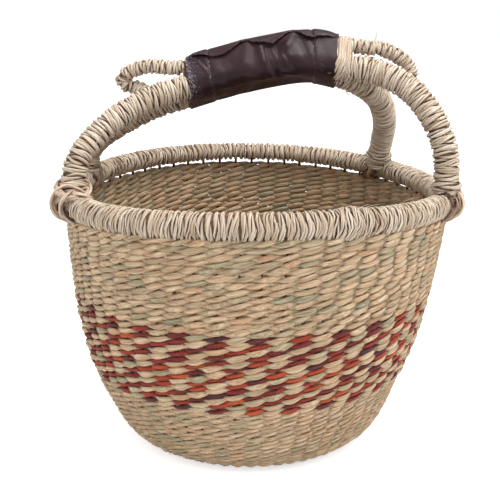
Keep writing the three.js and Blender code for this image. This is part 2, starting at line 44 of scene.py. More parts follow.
body = {
    "rimRadius": 135, "wallTop": 177, "bandBottom": 56, "bandTop": 116, "wallThickness": 6, "rimLean": 9,
    "gapRow": 3.5, "rimWidth": 17.4, "rimFrontHeight": 20, "rimBackHeight": 15.6, "stakes": 60,
    "dips": [(9.3, 4, 3.5), (7.5, -160, 5)],        # of the rim: depth, direction in degrees, sharpness
    "footShift": (2.6, -3.6), "footTop": 50, "footBlend": 34,       # the foot sits a little to the front right
    # outer line of the wall from the base up, as shares of the rim's radius and the wall's height
    "profileShares": [(0.64, 0), (0.73, 0.06), (0.807, 0.16), (0.887, 0.3), (0.962, 0.5), (1.014, 0.75), (1.036, 1)],
}
rimBottom = body["wallTop"] + body["gapRow"]
rimMiddle = rimBottom + (body["rimFrontHeight"] + body["rimBackHeight"]) / 4
stakeStep = full / body["stakes"]
firstStake = stakeStep / 4


# plain helpers
def ease(share):
    return share * share * (3 - 2 * share)


def hill(away, width):
    # 1 at the middle, 0 well beyond the width
    return np.exp(-(away / width) ** 2)


def unit(vectors):
    return vectors / np.linalg.norm(vectors, axis=-1)[..., None]


def squareTo(vectors, forward):
    # what is left of the vectors at right angles to forward, one long
    return unit(vectors - forward * np.sum(vectors * forward, axis=1)[:, None])


def radial(angle):
    return np.stack([np.cos(angle), np.sin(angle), 0 * angle], axis=-1)


def sideways(angle):
    return np.stack([-np.sin(angle), np.cos(angle), 0 * angle], axis=-1)


def curveBetween(start, end, startPull, endPull, count):
    # places on a smooth curve between two points, without the last one
    t = np.linspace(0, 1, count, endpoint=False)[:, None]
    return ((2 * start - 2 * end + startPull + endPull) * t ** 3
            + (-3 * start + 3 * end - 2 * startPull - endPull) * t ** 2 + startPull * t + start)


def smoothNoise(rng, count, spacing, isLoop=True):
    # a random line through knots that lie about `spacing` samples apart
    knots = max(4, int(round(count / spacing)))
    values = rng.uniform(-1, 1, knots)
    values = np.append(values, values[0] if isLoop else rng.uniform(-1, 1))
    places = np.linspace(0, knots, count, endpoint=not isLoop)
    low = np.clip(np.floor(places).astype(int), 0, knots - 1)
    share = ease(places - low)
    return values[low] * (1 - share) + values[low + 1] * share


def leanOver(points):
    points[..., 0] += body["rimLean"] / rimMiddle * points[..., 2]
    return points


def rimDip(angle):
    return sum(depth * ((1 + np.cos(angle - math.radians(place))) / 2) ** sharpness
               for depth, place, sharpness in body["dips"])


def dipped(points, angle):
    share = np.clip((points[..., 2] - body["bandTop"]) / (body["wallTop"] - body["bandTop"]), 0, 1)
    points[..., 2] -= share ** 2 * rimDip(angle)
    return points


def writeValues(mesh, label, values):
    layer = mesh.attributes.new(label, "FLOAT", "POINT")
    layer.data.foreach_set("value", values.astype(np.float32))


class MeshStore:
    # gathers tubes and writes them as one mesh, with a UV map and three values for the materials: tone, dye and painted
    # shade
    def __init__(self):
        self.lists = {key: [] for key in ("place", "corner", "total", "uv", "tone", "dye", "recess")}
        self.placeCount = 0

    def add(self, **values):
        for key, value in values.items():
            self.lists[key].append(value)

    def addTube(self, points, outward, side, thick, wide, sides, isLoop, tone, dye=0.0, square=1.0, recess=0.0):
        # every cross-section is an oval, thick outward and wide to the side; square below 1 makes it fuller
        samples = len(points)
        thick, wide = np.zeros(samples) + thick, np.zeros(samples) + wide
        turn = np.arange(sides) / sides * full
        across = np.sign(np.cos(turn)) * np.abs(np.cos(turn)) ** square
        along = np.sign(np.sin(turn)) * np.abs(np.sin(turn)) ** square
        ring = (points[:, None, :] + outward[:, None, :] * (thick[:, None, None] / 2 * across[None, :, None])
                + side[:, None, :] * (wide[:, None, None] / 2 * along[None, :, None])).reshape(-1, 3)
        travel = np.cumsum(np.linalg.norm(np.diff(points, axis=0, append=points[:1]), axis=1))
        travel = np.concatenate([[0], travel])
        girth = math.pi / 2 * (thick.mean() + wide.mean())
        i, j = np.meshgrid(np.arange(samples if isLoop else samples - 1), np.arange(sides), indexing="ij")
        nextI, nextJ = (i + 1) % samples, (j + 1) % sides
        faces = np.stack([i * sides + j, i * sides + nextJ, nextI * sides + nextJ, nextI * sides + j], axis=-1)
        faces = faces.reshape(-1, 4)
        uvI = np.stack([i, i, i + 1, i + 1], axis=-1).reshape(-1, 4)
        uvJ = np.stack([j, j + 1, j + 1, j], axis=-1).reshape(-1, 4)
        a, b, c, d = (ring[faces[:, n]] for n in range(4))
        flip = 1 if np.sum(a * (np.cross(b, c) + np.cross(c, d))) > 0 else -1     # faces point outwards
        self.add(corner=(faces[:, ::flip] + self.placeCount).reshape(-1), total=np.full(len(faces), 4),
                 uv=np.stack([travel[uvI[:, ::flip]], uvJ[:, ::flip] / sides * girth], axis=-1).reshape(-1, 2))
        if not isLoop:
            cap = np.arange(sides) + self.placeCount
            for corner, far in ((cap[::-flip], 0), (cap[::flip] + (samples - 1) * sides, travel[samples - 1])):
                self.add(corner=corner, total=[sides], uv=np.stack([np.full(sides, far), np.zeros(sides)], axis=-1))
        self.add(place=ring, tone=np.repeat(np.zeros(samples) + tone, sides),
                 dye=np.full(samples * sides, dye), recess=np.repeat(np.zeros(samples) + recess, sides))
        self.placeCount += samples * sides

    def finish(self, name, material):
        values = {key: np.concatenate(parts) for key, parts in self.lists.items()}
        totals = values["total"]
        mesh = bpy.data.meshes.new(name)
        mesh.vertices.add(len(values["place"]))
        mesh.vertices.foreach_set("co", (values["place"] * metre).astype(np.float32).reshape(-1))
        mesh.loops.add(len(values["corner"]))
        mesh.loops.foreach_set("vertex_index", values["corner"].astype(np.int32))
        mesh.polygons.add(len(totals))
        mesh.polygons.foreach_set("loop_start", np.concatenate([[0], np.cumsum(totals)[:-1]]).astype(np.int32))
        mesh.polygons.foreach_set("loop_total", totals.astype(np.int32))
        mesh.polygons.foreach_set("use_smooth", np.ones(len(totals), dtype=bool))
        uvLayer = mesh.uv_layers.new(name="alongStrand")
        uvLayer.data.foreach_set("uv", (values["uv"] * metre).astype(np.float32).reshape(-1))
        for label in ("tone", "dye", "recess"):
            writeValues(mesh, label, values[label])
        mesh.update(calc_edges=True)
        mesh.validate()
        piece = bpy.data.objects.new(name, mesh)
        bpy.context.scene.collection.objects.link(piece)
        mesh.materials.append(material)
        print("made", name, "with", sum(totals == 4) * 2, "triangles")
        return piece


def settle(piece, node):
    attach(piece, "root")
    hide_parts(node)


# loose ends of grass that lift off the surface
hairs = {
    "length": (5, 14), "thickness": 0.42, "taper": 0.65, "rise": 2.0, "bend": 0.3, "sink": 0.2,
    "samples": 8, "sides": 4,
    "rim": 70, "leg": 22, "curl": 8, "wall": 46, "lowerWall": 40,       # how many on each piece
}


def addHairs(store, rng, centres, outward, along):
    t = np.linspace(0, 1, hairs["samples"])[:, None]
    for centre, out, forward in zip(centres, outward, along):
        heading = rng.uniform(0, full)
        flat = forward * math.cos(heading) + np.cross(out, forward) * math.sin(heading)
        bend = np.cross(out, flat) * rng.uniform(-hairs["bend"], hairs["bend"])
        length = rng.uniform(*hairs["length"])
        rise = hairs["rise"] * rng.uniform(0.1, 1) ** 1.5
        lift = rise * np.sin(t * 2.2) - 0.5 * t ** 3 * rise - hairs["sink"]
        points = centre + flat * (t * length) + bend * (t ** 2 * length) + out * lift
        thick = hairs["thickness"] * (1 - hairs["taper"] * t[:, 0])
        outs, sides = (np.tile(direction, (len(t), 1)) for direction in (out, np.cross(flat, out)))
        store.addTube(points, outs, sides, thick, thick, hairs["sides"], False, rng.uniform(0.1, 0.9))


# node helpers: an input is a plain value or another node's output
def feed(tree, node, inputs):
    for name, value in inputs.items():
        if hasattr(value, "links"):
            tree.links.new(value, node.inputs[name])
        else:
            node.inputs[name].default_value = value


def addNode(tree, kind, inputs, **settings):
    node = tree.nodes.new("ShaderNode" + kind)
    for name, value in settings.items():
        setattr(node, name, value)
    feed(tree, node, inputs)
    return node


def newMaterial(name):
    material = bpy.data.materials.new(name)
    material.use_nodes = True
    return material, material.node_tree, material.node_tree.nodes["Principled BSDF"]


# camera, placed as the photograph was taken
view = {"place": (3.46, -721.1, 342.3), "pitch": 15.9625, "focal": 990.76, "pixels": 500, "sensor": 36, "clipStart": 10}

cameraData = bpy.data.cameras.new("photoCamera")
cameraData.sensor_width = view["sensor"]
cameraData.lens = view["focal"] / view["pixels"] * view["sensor"]
cameraData.clip_start = view["clipStart"] * metre
camera = bpy.data.objects.new("photoCamera", cameraData)
camera.location = [value * metre for value in view["place"]]
camera.rotation_euler = (math.radians(90 - view["pitch"]), 0, 0)
bpy.context.scene.collection.objects.link(camera)
bpy.context.scene.camera = camera
bpy.context.scene.view_settings.view_transform = "Standard"

# soft lamps, in metres and watts, all turned to the middle of the basket, and the studio round them
studio = {
    "lamps": {
        "key": {"place": (1.0, -1.0, 1.35), "size": 1.1, "power": 11},
        "fill": {"place": (-1.2, -0.9, 0.9), "size": 1.2, "power": 5.5},
        "top": {"place": (0.4, -0.2, 1.65), "size": 1.0, "power": 28},
    },
    "target": (0, 0, 0.15), "world": 0.66, "floorSize": 8, "floorDrop": 0.0004, "floorTint": (0.93, 0.93, 0.93, 1),
    "floorGlow": (0.6, 0.6, 0.6, 1), "floorRoughness": 0.9,
}
for lampName, lamp in studio["lamps"].items():
    lampData = bpy.data.lights.new(lampName, "AREA")
    lampData.size, lampData.energy = lamp["size"], lamp["power"]
    lampObject = bpy.data.objects.new(lampName, lampData)
    lampObject.location = lamp["place"]
    away = np.array(lamp["place"]) - studio["target"]
    tilt, heading = math.acos(away[2] / np.linalg.norm(away)), math.atan2(away[1], away[0])
    lampObject.rotation_euler = (tilt, 0, heading + math.pi / 2)
    bpy.context.scene.collection.objects.link(lampObject)

world = bpy.data.worlds.new("studio")
bpy.context.scene.world = world
world.use_nodes = True
worldTree = world.node_tree
lightPath = addNode(worldTree, "LightPath", {})
seen = addNode(worldTree, "Background", {"Color": (1, 1, 1, 1), "Strength": 1})
plain = worldTree.nodes["Background"]
feed(worldTree, plain, {"Color": (1, 1, 1, 1), "Strength": studio["world"]})
pick = addNode(worldTree, "MixShader", {"Fac": lightPath.outputs["Is Camera Ray"], 1: plain.outputs[0],
                                        2: seen.outputs[0]})
feed(worldTree, worldTree.nodes["World Output"], {"Surface": pick.outputs[0]})

bpy.ops.object.select_all(action="DESELECT")
bpy.ops.mesh.primitive_plane_add(size=studio["floorSize"], location=(0, 0, -studio["floorDrop"]))
floor = bpy.context.object
floor.name = "studioFloor"
floorPaint, floorTree, floorShader = newMaterial("floorPaint")
feed(floorTree, floorShader, {"Base Color": studio["floorTint"], "Roughness": studio["floorRoughness"]})
floorPath = addNode(floorTree, "LightPath", {})
floorGlow = addNode(floorTree, "Emission", {"Strength": floorPath.outputs["Is Camera Ray"],
                                            "Color": studio["floorGlow"]})
floorSum = addNode(floorTree, "AddShader", {0: floorShader.outputs[0], 1: floorGlow.outputs[0]})
feed(floorTree, floorTree.nodes["Material Output"], {"Surface": floorSum.outputs[0]})
floor.data.materials.append(floorPaint)
print("camera, lamps and floor ready")


# materials
def toLinear(colour):
    return tuple((c / 255 / 12.92 if c / 255 <= 0.04045 else ((c / 255 + 0.055) / 1.055) ** 2.4) for c in colour) + (1,)


def newGroup(name, inputs, outputs):
    # a group with its input node's outputs and its output node; a number is an input's first value
    group = bpy.data.node_groups.new(name, "ShaderNodeTree")
    for label, value in {"Vector": None, **inputs}.items():
        kind = "NodeSocketVector" if value is None else "NodeSocketFloat"
        socket = group.interface.new_socket(label, in_out="INPUT", socket_type=kind)
        if value is not None:
            socket.default_value = value
    for label in outputs:
        group.interface.new_socket(label, in_out="OUTPUT", socket_type="NodeSocketFloat")
    return group, group.nodes.new("NodeGroupInput").outputs, group.nodes.new("NodeGroupOutput")


def noiseMask(tree, vector, low, high, noise):
    made = addNode(tree, "TexNoise", {"Vector": vector, **noise})
    return addNode(tree, "MapRange", {"Value": made.outputs["Fac"], "From Min": low, "From Max": high}).outputs[0]


def calculate(tree, operation, *values):
    return addNode(tree, "Math", dict(enumerate(values)), operation=operation).outputs[0]


def makeGrassFibre():
    # fine streaks along a blade of grass, slow blotches and a height for the bump
    group, inside, outside = newGroup("grassFibre", {"Tone": 0.5, "Fibre Length": 0.02, "Fibre Width": 0.0004},
                                      ("Streak", "Blotch", "Height"))
    parts = addNode(group, "SeparateXYZ", {0: inside["Vector"]}).outputs
    place = addNode(group, "CombineXYZ", {
        "X": calculate(group, "DIVIDE", parts["X"], inside["Fibre Length"]),
        "Y": calculate(group, "DIVIDE", parts["Y"], inside["Fibre Width"]),
        "Z": calculate(group, "MULTIPLY", inside["Tone"], 37),      # every tone gets its own streaks
    }).outputs[0]
    streak = noiseMask(group, place, 0.3, 0.7, {"Scale": 1, "Detail": 3, "Roughness": 0.55})
    blotch = noiseMask(group, place, 0.35, 0.65, {"Scale": 0.35, "Detail": 2})
    feed(group, outside, {"Streak": streak, "Blotch": blotch,
                          "Height": calculate(group, "MULTIPLY_ADD", streak, 0.7, blotch)})
    return group


grassFibre = makeGrassFibre()


def addRamp(tree, share, stops):
    ramp = addNode(tree, "ValToRGB", {"Fac": share})
    elements = ramp.color_ramp.elements
    while len(elements) < len(stops):
        elements.new(0.5)
    for element, (place, colour) in zip(elements, stops):
        element.position = place
        element.color = toLinear(colour)
    return ramp.outputs["Color"]


def mixColour(tree, share, first, second, mode="MIX"):
    return addNode(tree, "Mix", {0: share, 6: first, 7: second}, data_type="RGBA", blend_type=mode).outputs[2]


def tinted(tree, colour, tint):
    return mixColour(tree, 1.0, colour, toLinear(tint), "MULTIPLY")


def addSurface(tree, shader, colour, look, roughShare, roughRange, height):
    rough = addNode(tree, "MapRange", {"Value": roughShare, "To Min": look["roughness"] + roughRange[0],
                                       "To Max": look["roughness"] + roughRange[1]})
    bump = addNode(tree, "Bump", {"Strength": look["bump"], "Distance": look["bumpDepth"] * metre, "Height": height})
    feed(tree, shader, {"Base Color": colour, "Roughness": rough.outputs[0], "Normal": bump.outputs["Normal"],
                        "Specular IOR Level": look["gloss"]})


def grassMaterial(name, look):
    material, tree, shader = newMaterial(name)
    tone, dye, recess = (addNode(tree, "Attribute", {}, attribute_name=label).outputs["Fac"]
                         for label in ("tone", "dye", "recess"))
    fibre = addNode(tree, "Group", {
        "Vector": addNode(tree, "UVMap", {}, uv_map="alongStrand").outputs["UV"], "Tone": tone,
        "Fibre Length": look["fibreLength"] * metre, "Fibre Width": look["fibreWidth"] * metre,
    }, node_tree=grassFibre).outputs
    colour = addRamp(tree, tone, look["colours"])
    if "dyes" in look:
        colour = mixColour(tree, dye, colour, addRamp(tree, tone, look["dyes"]))
    for mask, tint in (("Streak", "streakTint"), ("Blotch", "blotchTint")):
        colour = mixColour(tree, fibre[mask], tinted(tree, colour, look[tint]), colour)
    # painted shade between and under the strands, where they dip in
    colour = mixColour(tree, recess, colour, tinted(tree, colour, look["recessTint"]))
    addSurface(tree, shader, colour, look, fibre["Streak"], (0.12, -0.06), fibre["Height"])
    return material


weaveLook = {
    "fibreLength": 20, "fibreWidth": 0.75, "roughness": 0.6, "bump": 0.6, "bumpDepth": 0.3, "gloss": 0.3,
    "colours": [(0.0, (164, 166, 142)), (0.14, (182, 177, 151)), (0.32, (200, 185, 156)), (0.5, (212, 192, 163)),
                (0.68, (222, 201, 171)), (0.85, (218, 192, 160)), (0.95, (212, 180, 148)), (1.0, (190, 154, 126))],
    "dyes": [(0.0, (84, 38, 48)), (0.12, (104, 38, 40)), (0.32, (130, 44, 38)), (0.54, (156, 56, 40)),
             (0.78, (188, 78, 44)), (1.0, (206, 110, 60))],
    "streakTint": (186, 172, 156), "blotchTint": (226, 212, 202), "recessTint": (96, 78, 60),
}
wrapLook = {
    "fibreLength": 14, "fibreWidth": 0.45, "roughness": 0.56, "bump": 0.5, "bumpDepth": 0.3, "gloss": 0.35,
    # the darkest stop is only for the layers beneath, as painted shade in the gaps between the wraps
    "colours": [(0.0, (112, 90, 70)), (0.09, (180, 160, 139)), (0.25, (210, 196, 177)), (0.55, (227, 218, 203)),
                (0.8, (238, 231, 218)), (0.9, (232, 216, 202)), (1.0, (212, 172, 154))],
    "streakTint": (196, 182, 168), "blotchTint": (224, 212, 202), "recessTint": (128, 104, 84),
}
coreLook = {
    "fibreLength": 20, "fibreWidth": 0.8, "roughness": 0.75, "bump": 0.5, "bumpDepth": 0.3, "gloss": 0.2,
    "colours": [(0.0, (96, 74, 54)), (1.0, (124, 98, 72))],
    "streakTint": (176, 160, 140), "blotchTint": (210, 200, 186), "recessTint": (120, 104, 90),
}
weaveGrass = grassMaterial("weaveGrass", weaveLook)
wrapGrass = grassMaterial("wrapGrass", wrapLook)
coreGrass = grassMaterial("coreGrass", coreLook)
print("grass materials ready")


# the body's shape, through the same shares as in the part's source
def profileLine():
    points = np.array(body["profileShares"]) * [body["rimRadius"], body["wallTop"]]
    line = []
    for k in range(len(points) - 1):
        before, after = points[max(k - 1, 0)], points[min(k + 2, len(points) - 1)]
        line.append(curveBetween(points[k], points[k + 1], (points[k + 1] - before) / 2, (after - points[k]) / 2, 40))
    return np.concatenate([*line, points[-1:]])


outerLine = profileLine()
slope = unit(np.gradient(outerLine, axis=0))
wallMiddle = outerLine + np.stack([-slope[:, 1], slope[:, 0]], axis=1) * body["wallThickness"] / 2

# the middle of the weave, from the centre of the base out and up to the top of the wall and a little further
baseMiddle = np.array([(r, 3.0) for r in np.linspace(1.5, 79, 40)])
weaveLine = np.concatenate([baseMiddle, wallMiddle[wallMiddle[:, 1] > 4.6]])
for _ in range(6):
    weaveLine[1:-1] = (weaveLine[:-2] + 2 * weaveLine[1:-1] + weaveLine[2:]) / 4
above = weaveLine[-1] + (weaveLine[-1] - weaveLine[-4]) * np.arange(1, 13)[:, None] / 3
weaveLine = np.concatenate([weaveLine, above])
weaveLength = np.concatenate([[0], np.cumsum(np.linalg.norm(np.diff(weaveLine, axis=0), axis=1))])
weaveSlope = unit(np.gradient(weaveLine, axis=0))


def lengthAtHeight(height):
    wall = weaveLine[:, 1] > 6
    return float(np.interp(height, weaveLine[wall, 1], weaveLength[wall]))


def lengthAtRadius(radius):
    flat = weaveLength < weaveLength[45]
    return float(np.interp(radius, weaveLine[flat, 0], weaveLength[flat]))


def onWeave(angle, length, offset):
    # a point of the weave, with its outward and upward directions
    r, z, sr, sz = (np.interp(length, weaveLength, line[:, n]) for line in (weaveLine, weaveSlope) for n in (0, 1))
    r, z = r + sz * offset, z - sr * offset
    cos, sin = np.cos(angle), np.sin(angle)
    point = np.stack([r * cos, r * sin, z], axis=-1)
    low = ease(np.clip((body["footTop"] - point[..., 2]) / body["footBlend"], 0, 1))
    point[..., :2] += low[..., None] * np.array(body["footShift"])
    outward = np.stack([sz * cos, sz * sin, -sr], axis=-1)
    upward = np.stack([sr * cos, sr * sin, sz], axis=-1)
    return leanOver(dipped(point, angle)), outward, upward


weave = {
    "rowPitch": 4.35, "sides": 7, "square": 0.85,
    "wander": 0.35, "rowMemory": 0.75,      # how far rows wave up and down, and how much the next one follows
    "tallness": 0.19, "lean": 16,           # lean: degrees by which a stitch stands out over the row below
    "slant": 1.25, "edge": 0.8,             # below 1 a strand turns sooner, above 1 later
    "slimmest": 0.7, "topBulge": 1.6, "topLift": 2.8,
    # painted shade at the ends of each stitch: how dark, and how close to the crossing it stays
    "recess": 0.35, "recessSharpness": 40,
    # at the front left the stitches are pulled less tight, at the right their ends get more painted shade, and the back
    # is tighter
    # areas: direction in degrees, how fast it fades and how wide it is
    "looseArea": (-35, -1.6, 0.2), "tightArea": (30, 2.4, -1.3), "slipSides": (0.65, 0.35),
    "looseNeck": 0.12, "looseSlip": 0.7, "looseTall": 0.5, "looseShade": -0.7, "tightShade": 1.8, "backNeck": 0.09,
    "frontFill": (1.6, 0.45, 0.22),         # of the row of gaps: how fast it fades to the sides, and its least
    # random parts: how much, and over how many stitches one wave goes
    "vary": {"row": (0.4, 5), "slip": (0.14, 1.6), "drift": (0.2, 9), "thickness": (0.1, 0.8), "rise": (0.2, 1.3)},
    "stitchRise": 0.15, "stitchOffset": 0.1,
    "dyedShifts": [0, 0, 1, 0, 1, 1, 0, 1, 1, 0, 0, 1, 0, 0],
    # reach: how far a strand swings in and out of the stakes; twist: and up and down, half a turn at each stake;
    # tone: middle, waves, their length in stitches, and how much it changes from stitch to stitch
    "natural": {"reach": 1.4, "twist": 1.35, "thickness": 2.9, "width": 4.6, "neck": 0.43, "point": 1.0, "slip": 1.0,
                "tone": (0.5, 0.24, 2.6, 0.28), "dye": 0.0},
    "dense": {"reach": 0.8, "twist": 1.35, "thickness": 2.5, "width": 4.6, "neck": 0.3, "point": 0.9, "slip": 0.7,
              "tone": (0.5, 0.24, 2.6, 0.28), "dye": 0.0},
    "bandNatural": {"reach": 1.7, "twist": 1.2, "thickness": 2.7, "width": 5.8, "neck": 0.34, "point": 1.1, "slip": 0.4,
                    "tone": (0.5, 0.24, 2.6, 0.28), "dye": 0.0},
    "bandDyed": {"reach": 1.25, "twist": 1.2, "thickness": 2.0, "width": 4.0, "neck": 0.46, "point": 0.8, "slip": 0.4,
                 "tone": (0.42, 0.36, 2.2, 0.24), "dye": 1.0},
}


def frontShare(angle):
    # the top rows fill the row of gaps at the front of the basket, where none shows
    fading, offset, least = weave["frontFill"]
    return np.clip((1 - np.sin(angle)) / 2 * fading - offset, least, 1)


def areaShare(wave, angle, area):
    place, fading, wideness = weave[area]
    return np.clip(wave(angle + math.radians(place)) * fading + wideness, 0, 1)


def evenRows(low, high):
    rows = max(1, int(round((high - low) / weave["rowPitch"])))
    step = (high - low) / rows
    return low + step * (np.arange(rows) + 0.5)


def twinedRows(store, lengths, stakes, steps, seed, looks, shifts=None, lifts=None):
    # each row is two strands that cross between the stakes, one in front and one behind
    rng = np.random.default_rng(seed)
    samples = stakes * steps
    stake = np.arange(samples) / steps
    angle = firstStake + stake * full / stakes
    pitchShare = abs(lengths[1] - lengths[0]) / weave["rowPitch"]
    loose, tight = areaShare(np.sin, angle, "looseArea"), areaShare(np.cos, angle, "tightArea")
    back = np.clip(np.sin(angle), 0, 1)
    shade = weave["recess"] * (1 + weave["looseShade"] * loose + weave["tightShade"] * tight)
    riseAmount, riseSpan = weave["vary"]["rise"]
    slipMean, slipChange = weave["slipSides"]

    def wave(name):
        amount, span = weave["vary"][name]
        return amount * smoothNoise(rng, samples, steps * span)

    common = smoothNoise(rng, samples, steps * weave["vary"]["row"][1])
    for row, length in enumerate(lengths):
        common = weave["rowMemory"] * common + wave("row")
        wander = weave["wander"] * common
        if lifts is not None:
            wander = wander + lifts[row] * frontShare(angle)
        slip = wave("slip") + wave("drift")
        slip = slip * (slipMean - slipChange * np.cos(angle) + weave["looseSlip"] * loose)
        shift = shifts[row % len(shifts)] if shifts else rng.integers(0, 2)
        for strand, look in enumerate(looks):
            phase = math.pi * (stake + strand + shift + look["slip"] * slip)
            front, side = np.cos(phase), np.sin(phase)
            stitch = np.floor(phase / math.pi + 0.5).astype(int) % stakes
            perStitch, tallness = (rng.uniform(-1, 1, stakes)[stitch] for _ in range(2))
            swell = np.abs(front) ** look["point"]
            neck = look["neck"] + weave["backNeck"] * back + weave["looseNeck"] * loose
            width = look["width"] * pitchShare * (neck + (1 - neck) * swell)
            width = width * (1 + weave["tallness"] * (1 + weave["looseTall"] * loose) * tallness * swell)
            thickness = look["thickness"] * (weave["slimmest"] + (1 - weave["slimmest"]) * swell)
            thickness = thickness * (1 + wave("thickness"))
            offset = look["reach"] * np.sign(front) * np.abs(front) ** weave["edge"] + weave["stitchOffset"] * tallness
            if lifts is not None:
                offset = offset + weave["topBulge"] * (lifts[row] / lifts[-1]) ** 3 * frontShare(angle)
            rise = look["twist"] * pitchShare * np.sign(side) * np.abs(side) ** weave["slant"] + wander
            rise = (rise + riseAmount * (1 + loose) * smoothNoise(rng, samples, steps * riseSpan)
                    + weave["stitchRise"] * perStitch * swell)
            points, outward, upward = onWeave(angle, length + rise, offset)
            lean = np.radians(weave["lean"]) * np.sign(front) * swell
            tilted = outward * np.cos(lean)[:, None] - upward * np.sin(lean)[:, None]
            raised = upward * np.cos(lean)[:, None] + outward * np.sin(lean)[:, None]
            toneMiddle, toneWaves, toneSpan, toneStitch = look["tone"]
            tone = toneMiddle + toneWaves * smoothNoise(rng, samples, steps * toneSpan) + toneStitch * perStitch
            # painted shade where the two strands cross between the stakes
            recess = shade * np.abs(side) ** weave["recessSharpness"]
            store.addTube(points, tilted, raised, thickness, width, weave["sides"], True, np.clip(tone, 0, 1),
                          look["dye"], weave["square"], recess)


def wallHairs(store, seed, count, low, high, offset):
    rng = np.random.default_rng(seed)
    addHairs(store, rng, *onWeave(rng.uniform(0, full, count), rng.uniform(low, high, count), np.full(count, offset)))


# base and wall
edgeLength = lengthAtRadius(80)
bandLow, bandHigh = lengthAtHeight(body["bandBottom"]), lengthAtHeight(body["bandTop"])
topLength = lengthAtHeight(body["wallTop"])
plainPair, densePair = [weave["natural"]] * 2, [weave["dense"]] * 2
upperRows = evenRows(bandHigh, topLength)
upperLifts = (body["gapRow"] + weave["topLift"]) * (np.arange(len(upperRows)) + 1) / len(upperRows)

store = MeshStore()
twinedRows(store, evenRows(lengthAtRadius(55), edgeLength), 60, 5, 11, densePair)
twinedRows(store, evenRows(lengthAtRadius(26), lengthAtRadius(55)), 30, 6, 12, densePair)
twinedRows(store, evenRows(lengthAtRadius(2) - 2.4, lengthAtRadius(26)), 14, 7, 13, densePair)
settle(store.finish("baseWeave", weaveGrass), "base_weave")

store = MeshStore()
twinedRows(store, evenRows(edgeLength, bandLow), 60, 7, 21, densePair)
wallHairs(store, 22, hairs["lowerWall"], edgeLength + 8, bandLow, 2.0)
settle(store.finish("lowerWallWeave", weaveGrass), "lower_wall_weave")

store = MeshStore()
bandPair = [weave["bandNatural"], weave["bandDyed"]]
twinedRows(store, evenRows(bandLow, bandHigh), 60, 8, 31, bandPair, weave["dyedShifts"])
settle(store.finish("colourBandWeave", weaveGrass), "colour_band_weave")

store = MeshStore()
twinedRows(store, upperRows, 60, 8, 41, plainPair, None, upperLifts)
wallHairs(store, 42, hairs["wall"], bandHigh, topLength, 2.6)
settle(store.finish("upperWallWeave", weaveGrass), "upper_wall_weave")
print("body woven")


# rim
def rimHalfHeight(angle):
    mean = (body["rimFrontHeight"] + body["rimBackHeight"]) / 4
    swell = (body["rimFrontHeight"] - body["rimBackHeight"]) / 4
    return mean - swell * np.sin(angle)


def onRim(angle, turn, grow):
    # turn 0 is the outside, a quarter is the top; with the outward direction and the one along the rim
    upright = rimHalfHeight(angle)
    radius = body["rimRadius"] + (body["rimWidth"] / 2 + grow) * np.cos(turn)
    height = rimBottom + upright + (upright + grow) * np.sin(turn)
    point = np.stack([radius * np.cos(angle), radius * np.sin(angle), height - rimDip(angle)], axis=-1)
    flatness = unit(np.stack([np.cos(turn) * upright, np.sin(turn) * body["rimWidth"] / 2], axis=-1))
    outward = np.stack([flatness[..., 0] * np.cos(angle), flatness[..., 0] * np.sin(angle), flatness[..., 1]], axis=-1)
    return leanOver(point), outward, sideways(angle)


def rimRing(store, samples, inset, sides, tone):
    # a plain ring through the middle of the rim
    angle = np.arange(samples) / samples * full
    middle = onRim(angle, 0 * angle, -body["rimWidth"] / 2)[0]
    store.addTube(middle, radial(angle), np.tile([0.0, 0.0, 1.0], (samples, 1)), body["rimWidth"] - 2 * inset,
                  2 * (rimHalfHeight(angle) - inset), sides, True, tone)


rim = {
    "wraps": 200, "fibres": 6, "stepsPerTurn": 15, "sides": 5, "square": 0.9, "fibreThickness": 1.5, "fibreWidth": 1.5,
    "spread": 1.45, "depth": 0.95, "twist": 1.3, "sway": 1.3, "swaysPerTurn": 7, "swaySpan": 2.4, "jitter": 0.6,
    "swell": 0.3, "pinch": 0.27, "wrapTone": 0.15, "sunk": 0.85,
    # the wraps at both sides of the basket are rougher than those in front, and get more painted shade
    "roughLift": 0.7, "roughThin": 0.2, "roughShade": 0.4,
    # one place where the grass is joined and a few turns cross each other
    "knotAngle": -65.6, "knotWidth": 1.9, "knotRise": 1.9, "knotCross": 0.9, "knotDrift": 0.2, "knotSpread": 0.5,
    # at the feet of the handle the wraps get painted shade, most on their top, and those in front stand out
    "footReach": 0.08, "footShade": {"frontRight": 0.6, "backRight": 1.0, "backLeft": 0.1, "frontLeft": 0.5},
    "footSwell": 3.2, "footSwellReach": 0.07,
    "under": 2.3, "coreInset": 2.8, "stakeWidth": 2.4, "stakeThickness": 2.0, "stakeJitter": 0.004,
    "stakeTips": (0.9, 2.3, 6.9),       # heights over the wall through which a stake goes into the rim
}
# random parts of every wound bunch: how much, and over how many turns one wave goes
bunch = {
    "fine": 0.22, "turning": (1.2, 1), "phase": (0.7, 0.7), "thick": (0.12, 0.6), "wide": (0.2, 0.6),
    "lift": (0.15, 0.5), "tone": (0.2, 1.5), "fibreTone": 0.12, "endTurns": 3,
}


def windNoise(rng, turns, perTurn, span):
    # random waves that are alike in neighbouring turns, so that the wraps lie side by side
    values = rng.uniform(-1, 1, (int(turns.max() / span) + 3, perTurn))
    around, down = (turns % 1) * perTurn, turns / span
    i, j = np.floor(around).astype(int) % perTurn, np.floor(down).astype(int)
    u, v, right = ease(around % 1), ease(down % 1), (i + 1) % perTurn
    return ((values[j, i] * (1 - u) + values[j, right] * u) * (1 - v)
            + (values[j + 1, i] * (1 - u) + values[j + 1, right] * u) * v)


